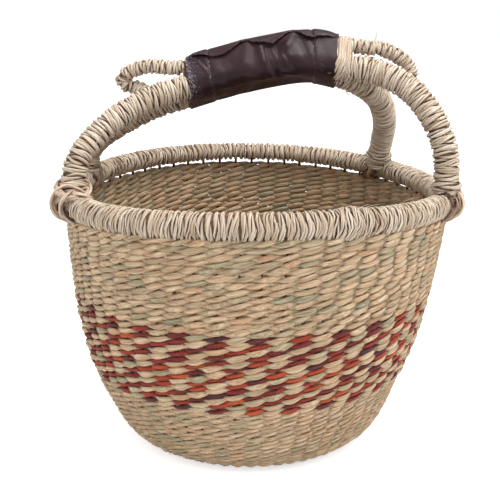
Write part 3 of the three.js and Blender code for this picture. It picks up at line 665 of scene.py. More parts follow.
def bunchFibres(rng, turns, look, isLoop):
    # sideways shift, lift, thickness, width, tone and painted shade of each fibre of a wound bunch
    steps, samples = look["stepsPerTurn"], len(turns)

    def wave(name):
        amount, span = bunch[name]
        return amount * smoothNoise(rng, samples, steps * span, isLoop)

    ends = np.ones(samples)
    if isLoop:
        ends = np.clip(np.minimum(turns, turns[-1] - turns) / bunch["endTurns"], 0, 1)
    sway = ends * (look["sway"] * windNoise(rng, turns, look["swaysPerTurn"], look["swaySpan"])
                   + look["jitter"] * smoothNoise(rng, samples, steps * bunch["fine"], isLoop))
    fullness = 1 + look["swell"] * smoothNoise(rng, samples, steps * bunch["fine"], isLoop)
    perWrap = rng.uniform(-1, 1, int(turns.max()) + 2)[(turns + 0.25).astype(int)]
    turning = full * np.round(look["twist"] * turns[-1]) / turns[-1] * turns + wave("turning")
    for fibre in range(look["fibres"]):
        phase = full * fibre / look["fibres"] + turning + wave("phase")
        shift = sway + look["spread"] * fullness * np.cos(phase)
        thick = look["fibreThickness"] * (1 + wave("thick"))
        wide = look["fibreWidth"] * (1 + wave("wide"))
        # painted shade where the fibre turns under the bunch
        sunk = np.clip((0.1 - np.sin(phase)) * look["sunk"], 0, 1)
        lift = look["depth"] * (np.sin(phase) - 1) + wave("lift")
        tone = 0.5 + wave("tone") + look["wrapTone"] * perWrap + bunch["fibreTone"] * rng.uniform(-1, 1)
        yield shift, lift, thick, wide, np.clip(tone, 0.1, 1), sunk


def rimWraps():
    rng = np.random.default_rng(5)
    store = MeshStore()
    turns = np.arange(rim["wraps"] * rim["stepsPerTurn"]) / rim["stepsPerTurn"]
    turn = -turns * full
    around = turns / rim["wraps"] * full
    narrow = 1 - rim["pinch"] * np.sin(turn) ** 2
    fromKnot = turns - (rim["knotAngle"] % 360) / 360 * rim["wraps"]
    knot = hill(fromKnot, rim["knotWidth"])
    crossing = rim["knotCross"] * knot * np.sin(turn * 1.5) - rim["knotDrift"] * knot * fromKnot
    swelling = rim["knotRise"] * knot
    # painted shade on the wraps next to each foot
    shade = 0 * turns
    for foot, (degrees, _) in handle["feet"].items():
        fromFoot = around - footAngle(degrees) % full
        near = hill(fromFoot, rim["footReach"])
        shade = shade + rim["footShade"][foot] * near * (0.4 + 0.6 * np.clip(np.sin(turn), 0, 1))
        if foot.startswith("front"):
            near = hill(fromFoot, rim["footSwellReach"])
            swelling = swelling + rim["footSwell"] * near * np.clip(np.cos(turn - 0.2), 0, 1)
    rough = np.cos(around) ** 2
    for shift, lift, thick, wide, tone, sunk in bunchFibres(rng, turns, rim, True):
        angle = around + (shift * narrow * (1 + rim["knotSpread"] * knot) + crossing) / body["rimRadius"]
        points, outward, along = onRim(angle, turn, -thick / 2 + lift * (1 + rim["roughLift"] * rough) + swelling)
        wide = wide * narrow * (1 - rim["roughThin"] * rough)
        store.addTube(points, outward, along, thick, wide, rim["sides"], True, tone, 0.0, rim["square"],
                      np.clip(sunk * (1 + rim["roughShade"] * rough) + shade, 0, 1))
    # the layer beneath is in the darkest tone, as painted shade between the wraps
    rimRing(store, 160, rim["under"], 20, 0.0)      # the layer of grass beneath
    addHairs(store, rng, *onRim(rng.uniform(0, full, hairs["rim"]), rng.uniform(-1.2, 2.6, hairs["rim"]), 0))
    return store.finish("rimWraps", wrapGrass)


def stakesAndRimCore():
    rng = np.random.default_rng(6)
    store = MeshStore()
    lengths = np.linspace(lengthAtRadius(30), topLength - 0.2, 46)
    for k in range(body["stakes"]):
        angle = firstStake + k * stakeStep + rng.uniform(-rim["stakeJitter"], rim["stakeJitter"])
        points = onWeave(np.full(len(lengths), angle), lengths, np.zeros(len(lengths)))[0]
        tip = np.tile(body["rimRadius"] * radial(angle), (3, 1))
        tip[:, 2] = np.array(rim["stakeTips"]) + body["wallTop"] - rimDip(angle)
        points = np.concatenate([points, leanOver(tip)])
        angles = np.full(len(points), angle)
        store.addTube(points, radial(angles), sideways(angles), rim["stakeThickness"], rim["stakeWidth"], 6, False,
                      rng.uniform(0, 1))
    rimRing(store, 120, rim["coreInset"], 14, 0.3)
    return store.finish("stakesAndRimCore", coreGrass)


# handle paths, through the same shares as in the part's source
handle = {
    "archRise": 90, "legRadius": 9.75, "archDrop": 8.2, "footDepth": 7, "gripLength": 110, "clearance": 0.3,
    "gripMiddle": (0, -0.067, 0.94),
    "frontShares": [(-0.934, -0.345, 0.255), (-0.85, -0.262, 0.435), (-0.747, -0.193, 0.57), (-0.59, -0.119, 0.69),
                    (-0.394, -0.067, 0.785), (0, -0.067, 0.94), (0.25, -0.067, 0.99), (0.42, -0.067, 0.948),
                    (0.617, -0.104, 0.89), (0.735, -0.16, 0.81), (0.83, -0.225, 0.685), (0.904, -0.285, 0.515),
                    (0.952, -0.325, 0.315)],
    "backLeftShares": [(-0.965, 0.25, 0.17), (-0.892, 0.207, 0.31), (-0.768, 0.16, 0.438), (-0.608, 0.115, 0.573)],
    "backRightShares": [(0.56, 0.15, 0.755), (0.655, 0.235, 0.64), (0.716, 0.36, 0.47), (0.742, 0.49, 0.31),
                        (0.742, 0.58, 0.14)],
    # direction in degrees, and how far outwards in rim widths
    "feet": {"frontRight": (-20, 0.25), "backRight": (41, -0.3), "backLeft": (166, 0), "frontLeft": (202, 0.2)},
}
curls = {
    "radius": 5.1, "tilt": 65, "sway": 5, "endInset": 13, "rest": 12,
    "leftReach": 45, "leftDrop": 16, "leftRestTilt": 11, "rightReach": 54, "rightDrop": 25, "rightRestTilt": 12,
    "leftShares": [(0.31, 0.3, 0), (0.52, 0.5, 0.03), (0.73, 0.9, -0.09), (0.91, 1.2, -0.34), (0.97, 1.4, -0.63),
                   (0.9, 1.5, -0.86), (0.72, 1.5, -0.98)],
    "rightShares": [(0.29, 0.4, -0.07), (0.5, 0.7, -0.12), (0.71, 1, -0.31), (0.87, 1.1, -0.57), (0.92, 1, -0.84),
                    (0.83, 0.7, -1)],
}


def smoothPath(points):
    # a centripetal Catmull-Rom curve, sampled closely, with its length and direction
    points = np.array(points, dtype=float)
    padded = np.concatenate([[2 * points[0] - points[1]], points, [2 * points[-1] - points[-2]]])
    line = []
    for k in range(1, len(padded) - 2):
        p0, p1, p2, p3 = padded[k - 1:k + 3]
        d0, d1, d2 = (max(np.linalg.norm(q - p), 1e-4) ** 0.5 for p, q in ((p0, p1), (p1, p2), (p2, p3)))
        pull1 = ((p1 - p0) / d0 - (p2 - p0) / (d0 + d1) + (p2 - p1) / d1) * d1
        pull2 = ((p2 - p1) / d1 - (p3 - p1) / (d1 + d2) + (p3 - p2) / d2) * d1
        line.append(curveBetween(p1, p2, pull1, pull2, 60))
    line = np.concatenate([*line, points[-1:]])
    length = np.concatenate([[0], np.cumsum(np.linalg.norm(np.diff(line, axis=0), axis=1))])
    return {"line": line, "length": length, "tangent": unit(np.gradient(line, axis=0)), "total": length[-1]}


def frameAlong(path, along):
    # centre, direction of the path, and the directions across it, to the back and up
    along = np.clip(np.asarray(along, dtype=float), 0, path["total"])
    centre, tangent = (np.stack([np.interp(along, path["length"], path[key][:, n]) for n in range(3)], axis=-1)
                       for key in ("line", "tangent"))
    tangent = unit(tangent)
    across = unit(np.array([0.0, 1.0, 0.0]) - tangent * tangent[..., 1:2])
    return centre, tangent, across, np.cross(tangent, across)


def beside(path, along, place):
    centre, tangent, across, upward = frameAlong(path, along)
    return centre + across * place[0] + upward * place[1]


def alongNear(path, point):
    return float(path["length"][np.argmin(np.linalg.norm(path["line"] - point, axis=1))])


def handlePoint(shares):
    return np.array([shares[0] * body["rimRadius"], shares[1] * body["rimRadius"],
                     rimMiddle + shares[2] * handle["archRise"]])


def footAngle(degrees):
    # halfway between the two stakes that are nearest
    gap = round((math.radians(degrees) - firstStake) / stakeStep - 0.5) + 0.5
    return firstStake + gap * stakeStep


def footPoint(foot):
    degrees, outShare = handle["feet"][foot]
    angle = footAngle(degrees)
    radius = body["rimRadius"] + outShare * body["rimWidth"]
    height = rimBottom + 2 * rimHalfHeight(angle) - rimDip(angle) - handle["footDepth"]
    return np.array([radius * math.cos(angle), radius * math.sin(angle), height])


settle(rimWraps(), "rim_wrapping")
settle(stakesAndRimCore(), "rim_core_and_stakes")
print("rim bound")

frontArch = smoothPath([footPoint("frontLeft"), *map(handlePoint, handle["frontShares"]), footPoint("frontRight")])
gripMiddle = alongNear(frontArch, handlePoint(handle["gripMiddle"]))
gripStart, gripEnd = gripMiddle - handle["gripLength"] / 2, gripMiddle + handle["gripLength"] / 2
rodSpacing = 2 * handle["legRadius"] + handle["clearance"]
curlSpacing = handle["legRadius"] + curls["radius"] + handle["clearance"]


def tiltedPlace(degrees):
    return curlSpacing * math.cos(math.radians(degrees)), curlSpacing * math.sin(math.radians(degrees))


backPlace = (math.sqrt(rodSpacing ** 2 - handle["archDrop"] ** 2), -handle["archDrop"])
curlPlace = tiltedPlace(curls["tilt"])
backMiddle, curlMiddle = ([beside(frontArch, stop, place) for stop in np.linspace(gripStart, gripEnd, 7)]
                          for place in (backPlace, curlPlace))
backArch = smoothPath([footPoint("backLeft"), *map(handlePoint, handle["backLeftShares"]), *backMiddle,
                       *map(handlePoint, handle["backRightShares"]), footPoint("backRight")])


def curlEnd(side, root, gripSide, direction):
    # from the grip out and back to where the end rests on the front rod
    reach, drop = curls[side + "Reach"], curls[side + "Drop"]
    out = [root + np.array([direction * share * reach, back * curls["sway"], up * drop])
           for share, back, up in curls[side + "Shares"]]
    rest = [beside(frontArch, gripSide + direction * inset, tiltedPlace(curls[side + "RestTilt"]))
            for inset in (curls["endInset"] + curls["rest"], curls["endInset"])]
    return out + rest


curlRod = smoothPath([*curlEnd("left", curlMiddle[0], gripStart, -1)[::-1], *curlMiddle,
                      *curlEnd("right", curlMiddle[-1], gripEnd, 1)])
print("paths: front", round(frontArch["total"]), "back", round(backArch["total"]), "curl", round(curlRod["total"]))

leather = {
    "thickness": 1.2, "ease": 0.6, "boundShare": 0.8, "deepest": 0.6, "alongCells": 170, "roundCells": 190,
    "topDegrees": 74, "lapWidth": 6,        # where the sleeve starts, and how wide its edge passes over itself
    # how far each end passes the grip's end, at the top and at the bottom
    "leftTopShift": 3.0, "leftBottomShift": -1.5, "rightTopShift": -7.0, "rightBottomShift": 0.5,
    "endDroop": 2.2, "droopSharpness": (16, 20),        # the flap lies closer to the rods at both ends
    "waves": [(0.5, 0.23, 1), (0.3, 0.61, 0)], "wavesSharpness": 18,        # of the cut ends: height, pace and start
    "edgeWearAndHighlight": 0.7, "lapBlend": 8, "lapGap": 0.3, "edgeReach": 3.0, "topCrease": 0.8,
    "lip": (1.2, 0.9, 0.35),        # of the free edge: place, width and height
    "roll": (40, 0.35),             # of the cut ends: sharpness and height
    "leftSeam": 0.16, "rightSeam": 0.85, "seamDepth": 0.45, "seamWidth": 0.9, "hemRise": 0.5, "hemSlope": 1.6,
    # the free edge on top: place along the grip, how far down the front it comes, and how far it stands off
    "edgeShares": [(0, 7, 0.6), (0.06, 5.5, 1.8), (0.12, 6.5, 1.6), (0.2, 10.4, 0.5), (0.275, 10.6, 0.7),
                   (0.34, 7.4, 1.2), (0.39, 4.4, 0.7), (0.434, 4.0, 0.3), (0.48, 6.8, 0.7), (0.546, 8.6, 0.8),
                   (0.595, 11.4, 1.4), (0.65, 8.4, 1.1), (0.71, 4.0, 0.4), (0.74, 3.4, 0.3), (0.776, 5.2, 0.6),
                   (0.81, 8.2, 1.3), (0.85, 9.8, 1.3), (0.93, 7.4, 0.7), (1, 6.4, 0.5)],
    # creases and folds: from place along and millimetres down the front, to the same, width and height
    "folds": [(0.515, 11, 0.52, 23, 2.2, 1.2), (0.52, 23, 0.55, 36, 2.2, 1.1), (0.56, 12, 0.565, 22, 2.2, -1.3),
              (0.565, 22, 0.6, 36, 2.4, -1.2), (0.745, 5, 0.69, 14, 3.0, 1.2), (0.69, 14, 0.64, 24, 3.6, 1.0),
              (0.61, 12, 0.64, 30, 2.6, -0.9), (0.43, 6, 0.395, 20, 3.4, 0.9), (0.475, 9, 0.46, 24, 3.0, -0.6),
              (0.26, 18, 0.33, 34, 6.0, -1.2), (0.2, 14, 0.25, 22, 5.0, 0.6), (0.39, 31, 0.5, 37, 2.6, 0.8),
              (0.62, 33, 0.72, 38, 2.4, 0.8), (0.77, 9, 0.8, 26, 3.0, -0.8), (0.2, 31, 0.3, 39, 2.6, 0.6),
              (0.06, 6, 0.15, 22, 0.9, 0.8), (0.08, 5, 0.165, 21, 1.6, -0.6), (0.03, 10, 0.06, 38, 2.2, -0.5),
              (0.9, 12, 0.92, 32, 3.4, -0.5), (0.7, 30, 0.66, 20, 2.0, -0.7), (0.06, 38, 0.18, 46, 6.0, 0.9),
              (0.32, 40, 0.52, 46, 8.0, -0.5), (0.74, 40, 0.86, 46, 6.0, 0.4)],
    "softFolds": 26, "softFoldHeight": 0.35, "softFoldWidth": 4.5,
    "scratch": (0.075, 6, 0.155, 21, 0.45),     # a pale rubbed line, given as a fold is
}
legs = {
    "pitch": 5.2, "fibres": 5, "stepsPerTurn": 26, "sides": 6, "square": 0.9, "fibreThickness": 1.6, "fibreWidth": 1.8,
    "spread": 1.7, "depth": 1.0, "twist": 1.15, "sway": 0.8, "swaysPerTurn": 4, "swaySpan": 1.5, "jitter": 0.45,
    "swell": 0.25, "wrapTone": 0.2, "sunk": 0.8, "grow": -0.3, "under": 2.6, "hairs": "leg",
    # at the foot the leg is slimmer, and one ring of turns stands out
    "footRadius": 9.3, "flare": 16, "ringAt": 11.5, "ringWidth": 2.2, "ringRise": 1.9,
}
curlWrap = {
    "pitch": 4.6, "fibres": 4, "stepsPerTurn": 18, "sides": 6, "square": 0.9, "fibreThickness": 1.8, "fibreWidth": 1.9,
    "spread": 1.4, "depth": 1.0, "twist": 1.1, "sway": 0.6, "swaysPerTurn": 3, "swaySpan": 1.3, "jitter": 0.4,
    "swell": 0.2, "wrapTone": 0.2, "sunk": 1.0, "grow": 0.75, "under": 1.9, "hairs": "curl",
}


def pathWraps(name, path, start, end, radiusAt, look, seed, direction, covered, extra=None):
    # bunches of grass wound round a rod; covered is the place where they go under the leather
    rng = np.random.default_rng(seed)
    store = MeshStore()
    turnsCount = max(1, int(round((end - start) / look["pitch"])))
    turns = np.arange(turnsCount * look["stepsPerTurn"] + 1) / look["stepsPerTurn"]
    turn = direction * turns * full + 0.7

    def outerRadius(along):
        hidden = np.clip((along - covered) * direction / 2.5, 0, 1)
        squeeze = (1 - leather["boundShare"]) * radiusAt(along) + look["grow"] + 0.4
        return radiusAt(along) + look["grow"] - hidden * squeeze

    for shift, lift, thick, wide, tone, sunk in bunchFibres(rng, turns, look, False):
        along = np.clip(start + (end - start) * turns / turnsCount + shift, start, end)
        centre, tangent, across, upward = frameAlong(path, along)
        outward = across * np.cos(turn)[:, None] + upward * np.sin(turn)[:, None]
        points = leanOver(centre + outward * (outerRadius(along) - thick / 2 + lift)[:, None])
        store.addTube(points, outward, tangent, thick, wide, look["sides"], False, tone, 0.0, look["square"], sunk)
    # the layer of grass beneath, in the darkest tone, as painted shade in the gaps between the wraps
    along = np.linspace(start, end, turnsCount * 2 + 2)
    centre, tangent, across, upward = frameAlong(path, along)
    size = 2 * (outerRadius(along) - look["under"])
    store.addTube(leanOver(centre), across, upward, size, size, 12, False, 0.0)
    count = hairs[look["hairs"]]
    along = rng.uniform(start, end, count)
    centre, tangent, across, upward = frameAlong(path, along)
    facing = rng.uniform(0, full, count)[:, None]
    outward = across * np.cos(facing) + upward * np.sin(facing)
    addHairs(store, rng, leanOver(centre + outward * outerRadius(along)[:, None]), outward, tangent)
    if extra:
        extra(store, rng)
    return store.finish(name, wrapGrass)


def legRadiusFrom(footAlong):
    def radiusAt(along):
        share = 1 - np.clip(np.abs(along - footAlong) / legs["flare"], 0, 1)
        ring = hill(np.abs(along - footAlong) - legs["ringAt"], legs["ringWidth"])
        return handle["legRadius"] + (legs["footRadius"] - handle["legRadius"]) * share ** 2 + legs["ringRise"] * ring
    return radiusAt


def curlRadius(along):
    return curls["radius"] + 0 * along


def tightLine(rods, turn):
    # the line pulled tight round some rods, given as centres and radii, and the way that it faces
    facing = np.stack([np.cos(turn), np.sin(turn)], axis=1)
    which = np.argmax(np.stack([facing @ np.array(centre) + radius for centre, radius in rods]), axis=0)
    return np.array([np.array(rods[w][0]) + rods[w][1] * f for w, f in zip(which, facing)]), facing


# bunches at the right end of the grip that hold the curl's root to the front rod
endTurns = {
    "insets": (1.0, 4.6, 8.4), "fibres": 5, "samples": 64, "grow": 0.3, "depth": 0.8, "spread": 1.7, "slant": 1.0,
    # random parts: how much, and how many samples apart
    "lift": (0.3, 9), "drift": (0.5, 8), "width": (0.15, 8), "tone": (0.3, 12),
    "lowest": -16, "height": 34,        # of the leather's end, for its slant
}


def gripEndTurns(store, rng):
    samples = endTurns["samples"]
    turn = np.arange(samples) / samples * full

    def wave(name):
        amount, spacing = endTurns[name]
        return amount * smoothNoise(rng, samples, spacing)

    outline, facing = tightLine([((0, 0), handle["legRadius"]), (curlPlace, curls["radius"])], turn)
    for inset in endTurns["insets"]:
        slant = rng.uniform(-endTurns["slant"], endTurns["slant"])
        # the leather's end is slanted, and so are these
        upShare = (outline[:, 1] - endTurns["lowest"]) / endTurns["height"]
        leatherEnd = leather["rightBottomShift"] + (leather["rightTopShift"] - leather["rightBottomShift"]) * upShare
        phaseStart = rng.uniform(0, full)
        for fibre in range(endTurns["fibres"]):
            phase = phaseStart + 2 * turn + full * fibre / endTurns["fibres"]
            grow = endTurns["grow"] + endTurns["depth"] * (np.sin(phase) - 1) + wave("lift")
            along = (gripEnd + leatherEnd + inset + slant * np.sin(turn) + endTurns["spread"] * np.cos(phase)
                     + wave("drift"))
            place = outline + facing * grow[:, None]
            centre, tangent, across, upward = frameAlong(frontArch, along)
            points = centre + across * place[:, :1] + upward * place[:, 1:]
            outward = across * facing[:, :1] + upward * facing[:, 1:]
            size = legs["fibreWidth"] * (1 + wave("width"))
            store.addTube(leanOver(points), outward, tangent, size, size, 6, True,
                          np.clip(0.5 + wave("tone"), 0, 1))


underLeather = 12
backGripStart, backGripEnd = alongNear(backArch, backMiddle[0]), alongNear(backArch, backMiddle[-1])
curlGripStart, curlGripEnd = alongNear(curlRod, curlMiddle[0]), alongNear(curlRod, curlMiddle[-1])
frontTotal, backTotal, curlTotal = frontArch["total"], backArch["total"], curlRod["total"]
for wound in (
    ("frontLeftLeg", "front_left_leg", frontArch, 1, gripStart + underLeather, legRadiusFrom(0), legs, 51, 1,
     gripStart + 2.5),
    ("frontRightLeg", "front_right_leg", frontArch, gripEnd - underLeather, frontTotal - 1, legRadiusFrom(frontTotal),
     legs, 52, -1, gripEnd - 4, gripEndTurns),
    ("backLeftLeg", "back_left_leg", backArch, 1, backGripStart + underLeather, legRadiusFrom(0), legs, 53, 1,
     backGripStart + 1),
    ("backRightLeg", "back_right_leg", backArch, backGripEnd - underLeather, backTotal - 1, legRadiusFrom(backTotal),
     legs, 54, -1, backGripEnd - 2),
    ("leftCurl", "left_curl", curlRod, 0.3, curlGripStart + underLeather, curlRadius, curlWrap, 61, 1,
     curlGripStart + 4),
    ("rightCurl", "right_curl", curlRod, curlGripEnd - underLeather - 4, curlTotal - 0.3, curlRadius, curlWrap, 62, -1,
     curlGripEnd - 9),
):
    settle(pathWraps(wound[0] + "Wraps", *wound[2:]), wound[1] + "_wrapping")
print("legs and curls wound")

# leather grip: the section is pulled tight round the three rods, and measured from its top forwards
sectionPlaces, sectionNormals = tightLine(
    [(centre, leather["boundShare"] * radius) for centre, radius in
     (((0, 0), handle["legRadius"]), (backPlace, handle["legRadius"]), (curlPlace, curls["radius"]))],
    np.radians(leather["topDegrees"] + np.arange(0, 360, 1.0)))
closedPlaces = np.concatenate([sectionPlaces, sectionPlaces[:1]])
closedNormals = np.concatenate([sectionNormals, sectionNormals[:1]])
sectionSteps = np.linalg.norm(np.diff(closedPlaces + closedNormals * 1.5, axis=0), axis=1)
sectionLength = np.concatenate([[0], np.cumsum(sectionSteps)])
girth = sectionLength[-1]


def sleevePoint(along, around, grow):
    # around is measured in millimetres from the top forwards
    around = np.mod(around, girth)
    place, normal = (np.stack([np.interp(around, sectionLength, line[:, n]) for n in range(2)], axis=-1)
                     for line in (closedPlaces, closedNormals))
    place = place + unit(normal) * grow[..., None]
    centre, tangent, across, upward = frameAlong(frontArch, along)
    return centre + across * place[..., 0:1] + upward * place[..., 1:2]


def nearLine(share, around, fold):
    # how close each point lies to a short line on the leather, 1 on it and 0 away from it
    grip = handle["gripLength"]
    start, end = np.array([fold[0] * grip, fold[1]]), np.array([fold[2] * grip, fold[3]])
    places = np.stack([share * grip, around], axis=-1)
    line = end - start
    part = np.clip(((places - start) @ line) / (line @ line), 0, 1)
    away = np.linalg.norm(places - start - part[:, None] * line, axis=1)
    return hill(away, fold[4])


def sleeveEnds(around):
    # the cut ends of the sleeve are a little slanted, as seen from the front
    up = np.interp(np.mod(around, girth), sectionLength, closedPlaces[:, 1])
    upShare = (up - closedPlaces[:, 1].min()) / np.ptp(closedPlaces[:, 1])
    for grip, side in ((gripStart, "left"), (gripEnd, "right")):
        bottom, top = leather[side + "BottomShift"], leather[side + "TopShift"]
        yield grip + bottom + (top - bottom) * upShare


def leatherRelief(share, around):
    # how far the surface stands out, from its folds, seams and hems
    relief = sum(fold[5] * nearLine(share, around, fold) for fold in leather["folds"])
    for seam, outer in ((leather["leftSeam"], share < leather["leftSeam"]),
                        (leather["rightSeam"], share > leather["rightSeam"])):
        away = (share - seam) * handle["gripLength"]
        relief = relief - leather["seamDepth"] * hill(away, leather["seamWidth"])
        relief = relief + leather["hemRise"] * (np.clip(np.abs(away) / leather["hemSlope"], 0, 1) * outer)
    return np.maximum(relief, -leather["deepest"])


def fade(share, sharpness):
    # 1 at the left end, 0 away from it
    return np.exp(-share * sharpness)


def bothEnds(share, left, right=None):
    return fade(share, left) + fade(1 - share, right or left)


def leatherPiece():
    # a flat grid, laid round the rods with its free edge on top, then given its thickness
    rng = np.random.default_rng(81)
    bpy.ops.object.select_all(action="DESELECT")
    bpy.ops.mesh.primitive_grid_add(x_subdivisions=leather["alongCells"], y_subdivisions=leather["roundCells"], size=1)
    piece = bpy.context.object
    piece.name = "leatherGrip"
    mesh = piece.data
    flat = np.empty(len(mesh.vertices) * 3)
    mesh.vertices.foreach_get("co", flat)
    flat = flat.reshape(-1, 3)
    share, roundShare = flat[:, 0] + 0.5, flat[:, 1] + 0.5
    length, lapStart = handle["gripLength"], girth - leather["lapWidth"]
    edgeTable = np.array(leather["edgeShares"])
    edge = np.interp(share, edgeTable[:, 0], edgeTable[:, 1]) + 0.25 * np.sin(share * 90) * np.sin(share * 37)
    standOff = np.interp(share, edgeTable[:, 0], edgeTable[:, 2])
    around = 1 + roundShare * (girth - 1 + edge)
    fromEdge = girth + edge - around
    start, end = sleeveEnds(around)
    wavy = sum(height * np.sin(around * pace + begin) for height, pace, begin in leather["waves"])
    along = start + (end - start) * share + wavy * bothEnds(share, leather["wavesSharpness"])
    isOver = around > lapStart
    front = np.where(isOver, around - girth, around)
    lap = ease(np.clip((around - lapStart) / leather["lapBlend"], 0, 1))
    soft = np.zeros(len(share))
    for _ in range(leather["softFolds"]):
        place, down = rng.uniform(0, 1), rng.uniform(-10, lapStart)
        slantAlong, slantDown = rng.uniform(-0.1, 0.1), rng.uniform(8, 16)
        soft += rng.uniform(-1, 1) * nearLine(share, np.where(isOver, front, around), (
            place, down, place + slantAlong, down + slantDown, leather["softFoldWidth"]))
    relief = leatherRelief(share, np.where(isOver, -50, around)) + leather["softFoldHeight"] * soft * (1 - 0.5 * lap)
    relief = relief * (1 - leather["topCrease"] * np.exp(-np.abs(front) / 1.5) * (1 - lap))
    grow = leather["ease"] + leather["thickness"] / 2 + (leather["thickness"] + leather["lapGap"]) * lap + relief
    # the free edge stands off and has a thin lip, and both ends are rolled
    grow = grow + np.exp(-np.clip(fromEdge, 0, None) / leather["edgeReach"]) * standOff * lap
    lipPlace, lipWidth, lipHeight = leather["lip"]
    grow = grow + lipHeight * hill(fromEdge - lipPlace, lipWidth) * lap
    rollSharpness, rollHeight = leather["roll"]
    grow = grow + rollHeight * bothEnds(share, rollSharpness) * (1 - lap)
    grow = grow - leather["endDroop"] * bothEnds(share, *leather["droopSharpness"]) * lap
    points = leanOver(sleevePoint(along, around, grow)) * metre
    mesh.vertices.foreach_set("co", points.reshape(-1))
    # pale wear at the ends, the free edge and one scratch, with a painted highlight along the free edge towards the
    # right end, and dust at the left end and the seams
    wearAndHighlight = 0.9 * fade(share, length) + 0.35 * fade(1 - share, length / 0.8)
    # along the free edge: wear, with a painted highlight growing towards the right end
    wearAndHighlight = wearAndHighlight + (0.35 + 0.6 * np.clip((share - 0.85) * 12, 0, 1)) * hill(fromEdge, leather["edgeWearAndHighlight"])
    wearAndHighlight = wearAndHighlight + nearLine(share, around, leather["scratch"]) * (1 - lap)
    dust = np.exp(-(share * length / 7) ** 2) + 0.35 * np.exp(-((share - leather["leftSeam"]) * 60) ** 2)
    dust = dust + 0.2 * np.exp(-((share - leather["rightSeam"] - 0.03) * 30) ** 2)
    writeValues(mesh, "wearAndHighlight", np.clip(wearAndHighlight, 0, 1))
    writeValues(mesh, "dust", np.clip(dust, 0, 1))
    mesh.update()
    solidify = piece.modifiers.new("thickness", "SOLIDIFY")
    solidify.thickness = leather["thickness"] * metre
    solidify.offset = 0
    bpy.context.view_layer.objects.active = piece
    bpy.ops.object.modifier_apply(modifier="thickness")
    bpy.ops.object.shade_smooth()
    return piece


leatherLook = {
    "hide": (40, 19, 23), "deep": (27, 13, 15), "rub": (76, 53, 59), "rubShare": 0.22, "dust": (140, 138, 154),
    "dustShare": 0.75, "wearAndHighlight": (150, 140, 144), "wearAndHighlightShare": 0.9, "poreScale": 1500, "creaseScale": 260,
    "roughness": 0.47, "bump": 0.35, "bumpDepth": 0.4, "gloss": 0.24,
}


def makeLeatherGrain():
    # pores and fine creases of a hide, slow rubbed patches and pale flecks
    group, inside, outside = newGroup("leatherGrain", {"Pore Scale": 1500.0, "Crease Scale": 260.0},
                                      ("Height", "Rub", "Fleck"))
    vector = inside["Vector"]
    pores = addNode(group, "TexVoronoi", {"Vector": vector, "Scale": inside["Pore Scale"]})
    creases = addNode(group, "TexNoise", {"Vector": vector, "Scale": inside["Crease Scale"], "Detail": 5,
                                          "Roughness": 0.6})
    feed(group, outside, {
        "Height": calculate(group, "MULTIPLY_ADD", pores.outputs["Distance"], 0.35, creases.outputs["Fac"]),
        "Rub": noiseMask(group, vector, 0.42, 0.72, {"Scale": 55, "Detail": 4}),
        "Fleck": noiseMask(group, vector, 0.52, 0.68, {"Scale": 900, "Detail": 3}),
    })
    return group


def leatherMaterial():
    material, tree, shader = newMaterial("wornLeather")
    grain = addNode(tree, "Group", {
        "Vector": addNode(tree, "TexCoord", {}).outputs["Object"], "Pore Scale": leatherLook["poreScale"],
        "Crease Scale": leatherLook["creaseScale"],
    }, node_tree=makeLeatherGrain()).outputs
    colour = mixColour(tree, grain["Height"], toLinear(leatherLook["deep"]), toLinear(leatherLook["hide"]))
    rubbed = calculate(tree, "MULTIPLY", grain["Rub"], leatherLook["rubShare"])
    colour = mixColour(tree, rubbed, colour, toLinear(leatherLook["rub"]))
    # dust, and pale wear with a painted highlight along the free edge
    for label in ("dust", "wearAndHighlight"):
        mark = addNode(tree, "Attribute", {}, attribute_name=label)
        share = calculate(tree, "MULTIPLY", mark.outputs["Fac"], grain["Fleck"])
        share = calculate(tree, "MULTIPLY", share, leatherLook[label + "Share"])
        colour = mixColour(tree, share, colour, toLinear(leatherLook[label]))
    addSurface(tree, shader, colour, leatherLook, grain["Rub"], (-0.08, 0.16), grain["Height"])
    return material


wornLeather = leatherMaterial()
leatherGrip = leatherPiece()
leatherGrip.data.materials.append(wornLeather)
settle(leatherGrip, "leather_grip")
print("leather wrapped")

stitches = {
    "length": 2.6, "gap": 1.5, "thickness": 0.55, "bury": 0.1, "dip": 0.8, "samples": 8, "sides": 6,
    "start": 11, "end": 8, "lengthRange": (0.85, 1.1), "stray": 0.2,
}
threadLook = grassMaterial("waxedThread", {
    "fibreLength": 1.2, "fibreWidth": 0.2, "roughness": 0.6, "bump": 0.4, "bumpDepth": 0.3, "gloss": 0.3,
    "colours": [(0.0, (74, 58, 58)), (0.6, (110, 96, 94)), (1.0, (204, 196, 190))],
    "streakTint": (186, 176, 170), "blotchTint": (214, 206, 200), "recessTint": (120, 110, 104),
})


def seamStitches(name, seam, seed):
    # short stitches that dip into the leather at both ends
    rng = np.random.default_rng(seed)
    store = MeshStore()
    t = np.linspace(0, 1, stitches["samples"])
    for place in np.arange(stitches["start"], girth - stitches["end"], stitches["length"] + stitches["gap"]):
        around = place + t * stitches["length"] * rng.uniform(*stitches["lengthRange"])
        share = seam + rng.uniform(-stitches["stray"], stitches["stray"]) / handle["gripLength"] + 0 * t
        start, end = sleeveEnds(around)
        along = start + (end - start) * share
        grow = (leather["ease"] + leather["thickness"] + leatherRelief(share, around) + stitches["bury"]
                - stitches["dip"] * (2 * t - 1) ** 4)
        points = sleevePoint(along, around, grow)
        forward = unit(np.gradient(points, axis=0))
        outward = squareTo(sleevePoint(along, around, grow + 1) - points, forward)
        store.addTube(leanOver(points), outward, np.cross(forward, outward), stitches["thickness"],
                      stitches["thickness"], stitches["sides"], False, rng.uniform(0, 1) ** 2)
    return store.finish(name, threadLook)


settle(seamStitches("leftStitching", leather["leftSeam"], 91), "left_end_stitching")
settle(seamStitches("rightStitching", leather["rightSeam"], 92), "right_end_stitching")
print("leather sewn")

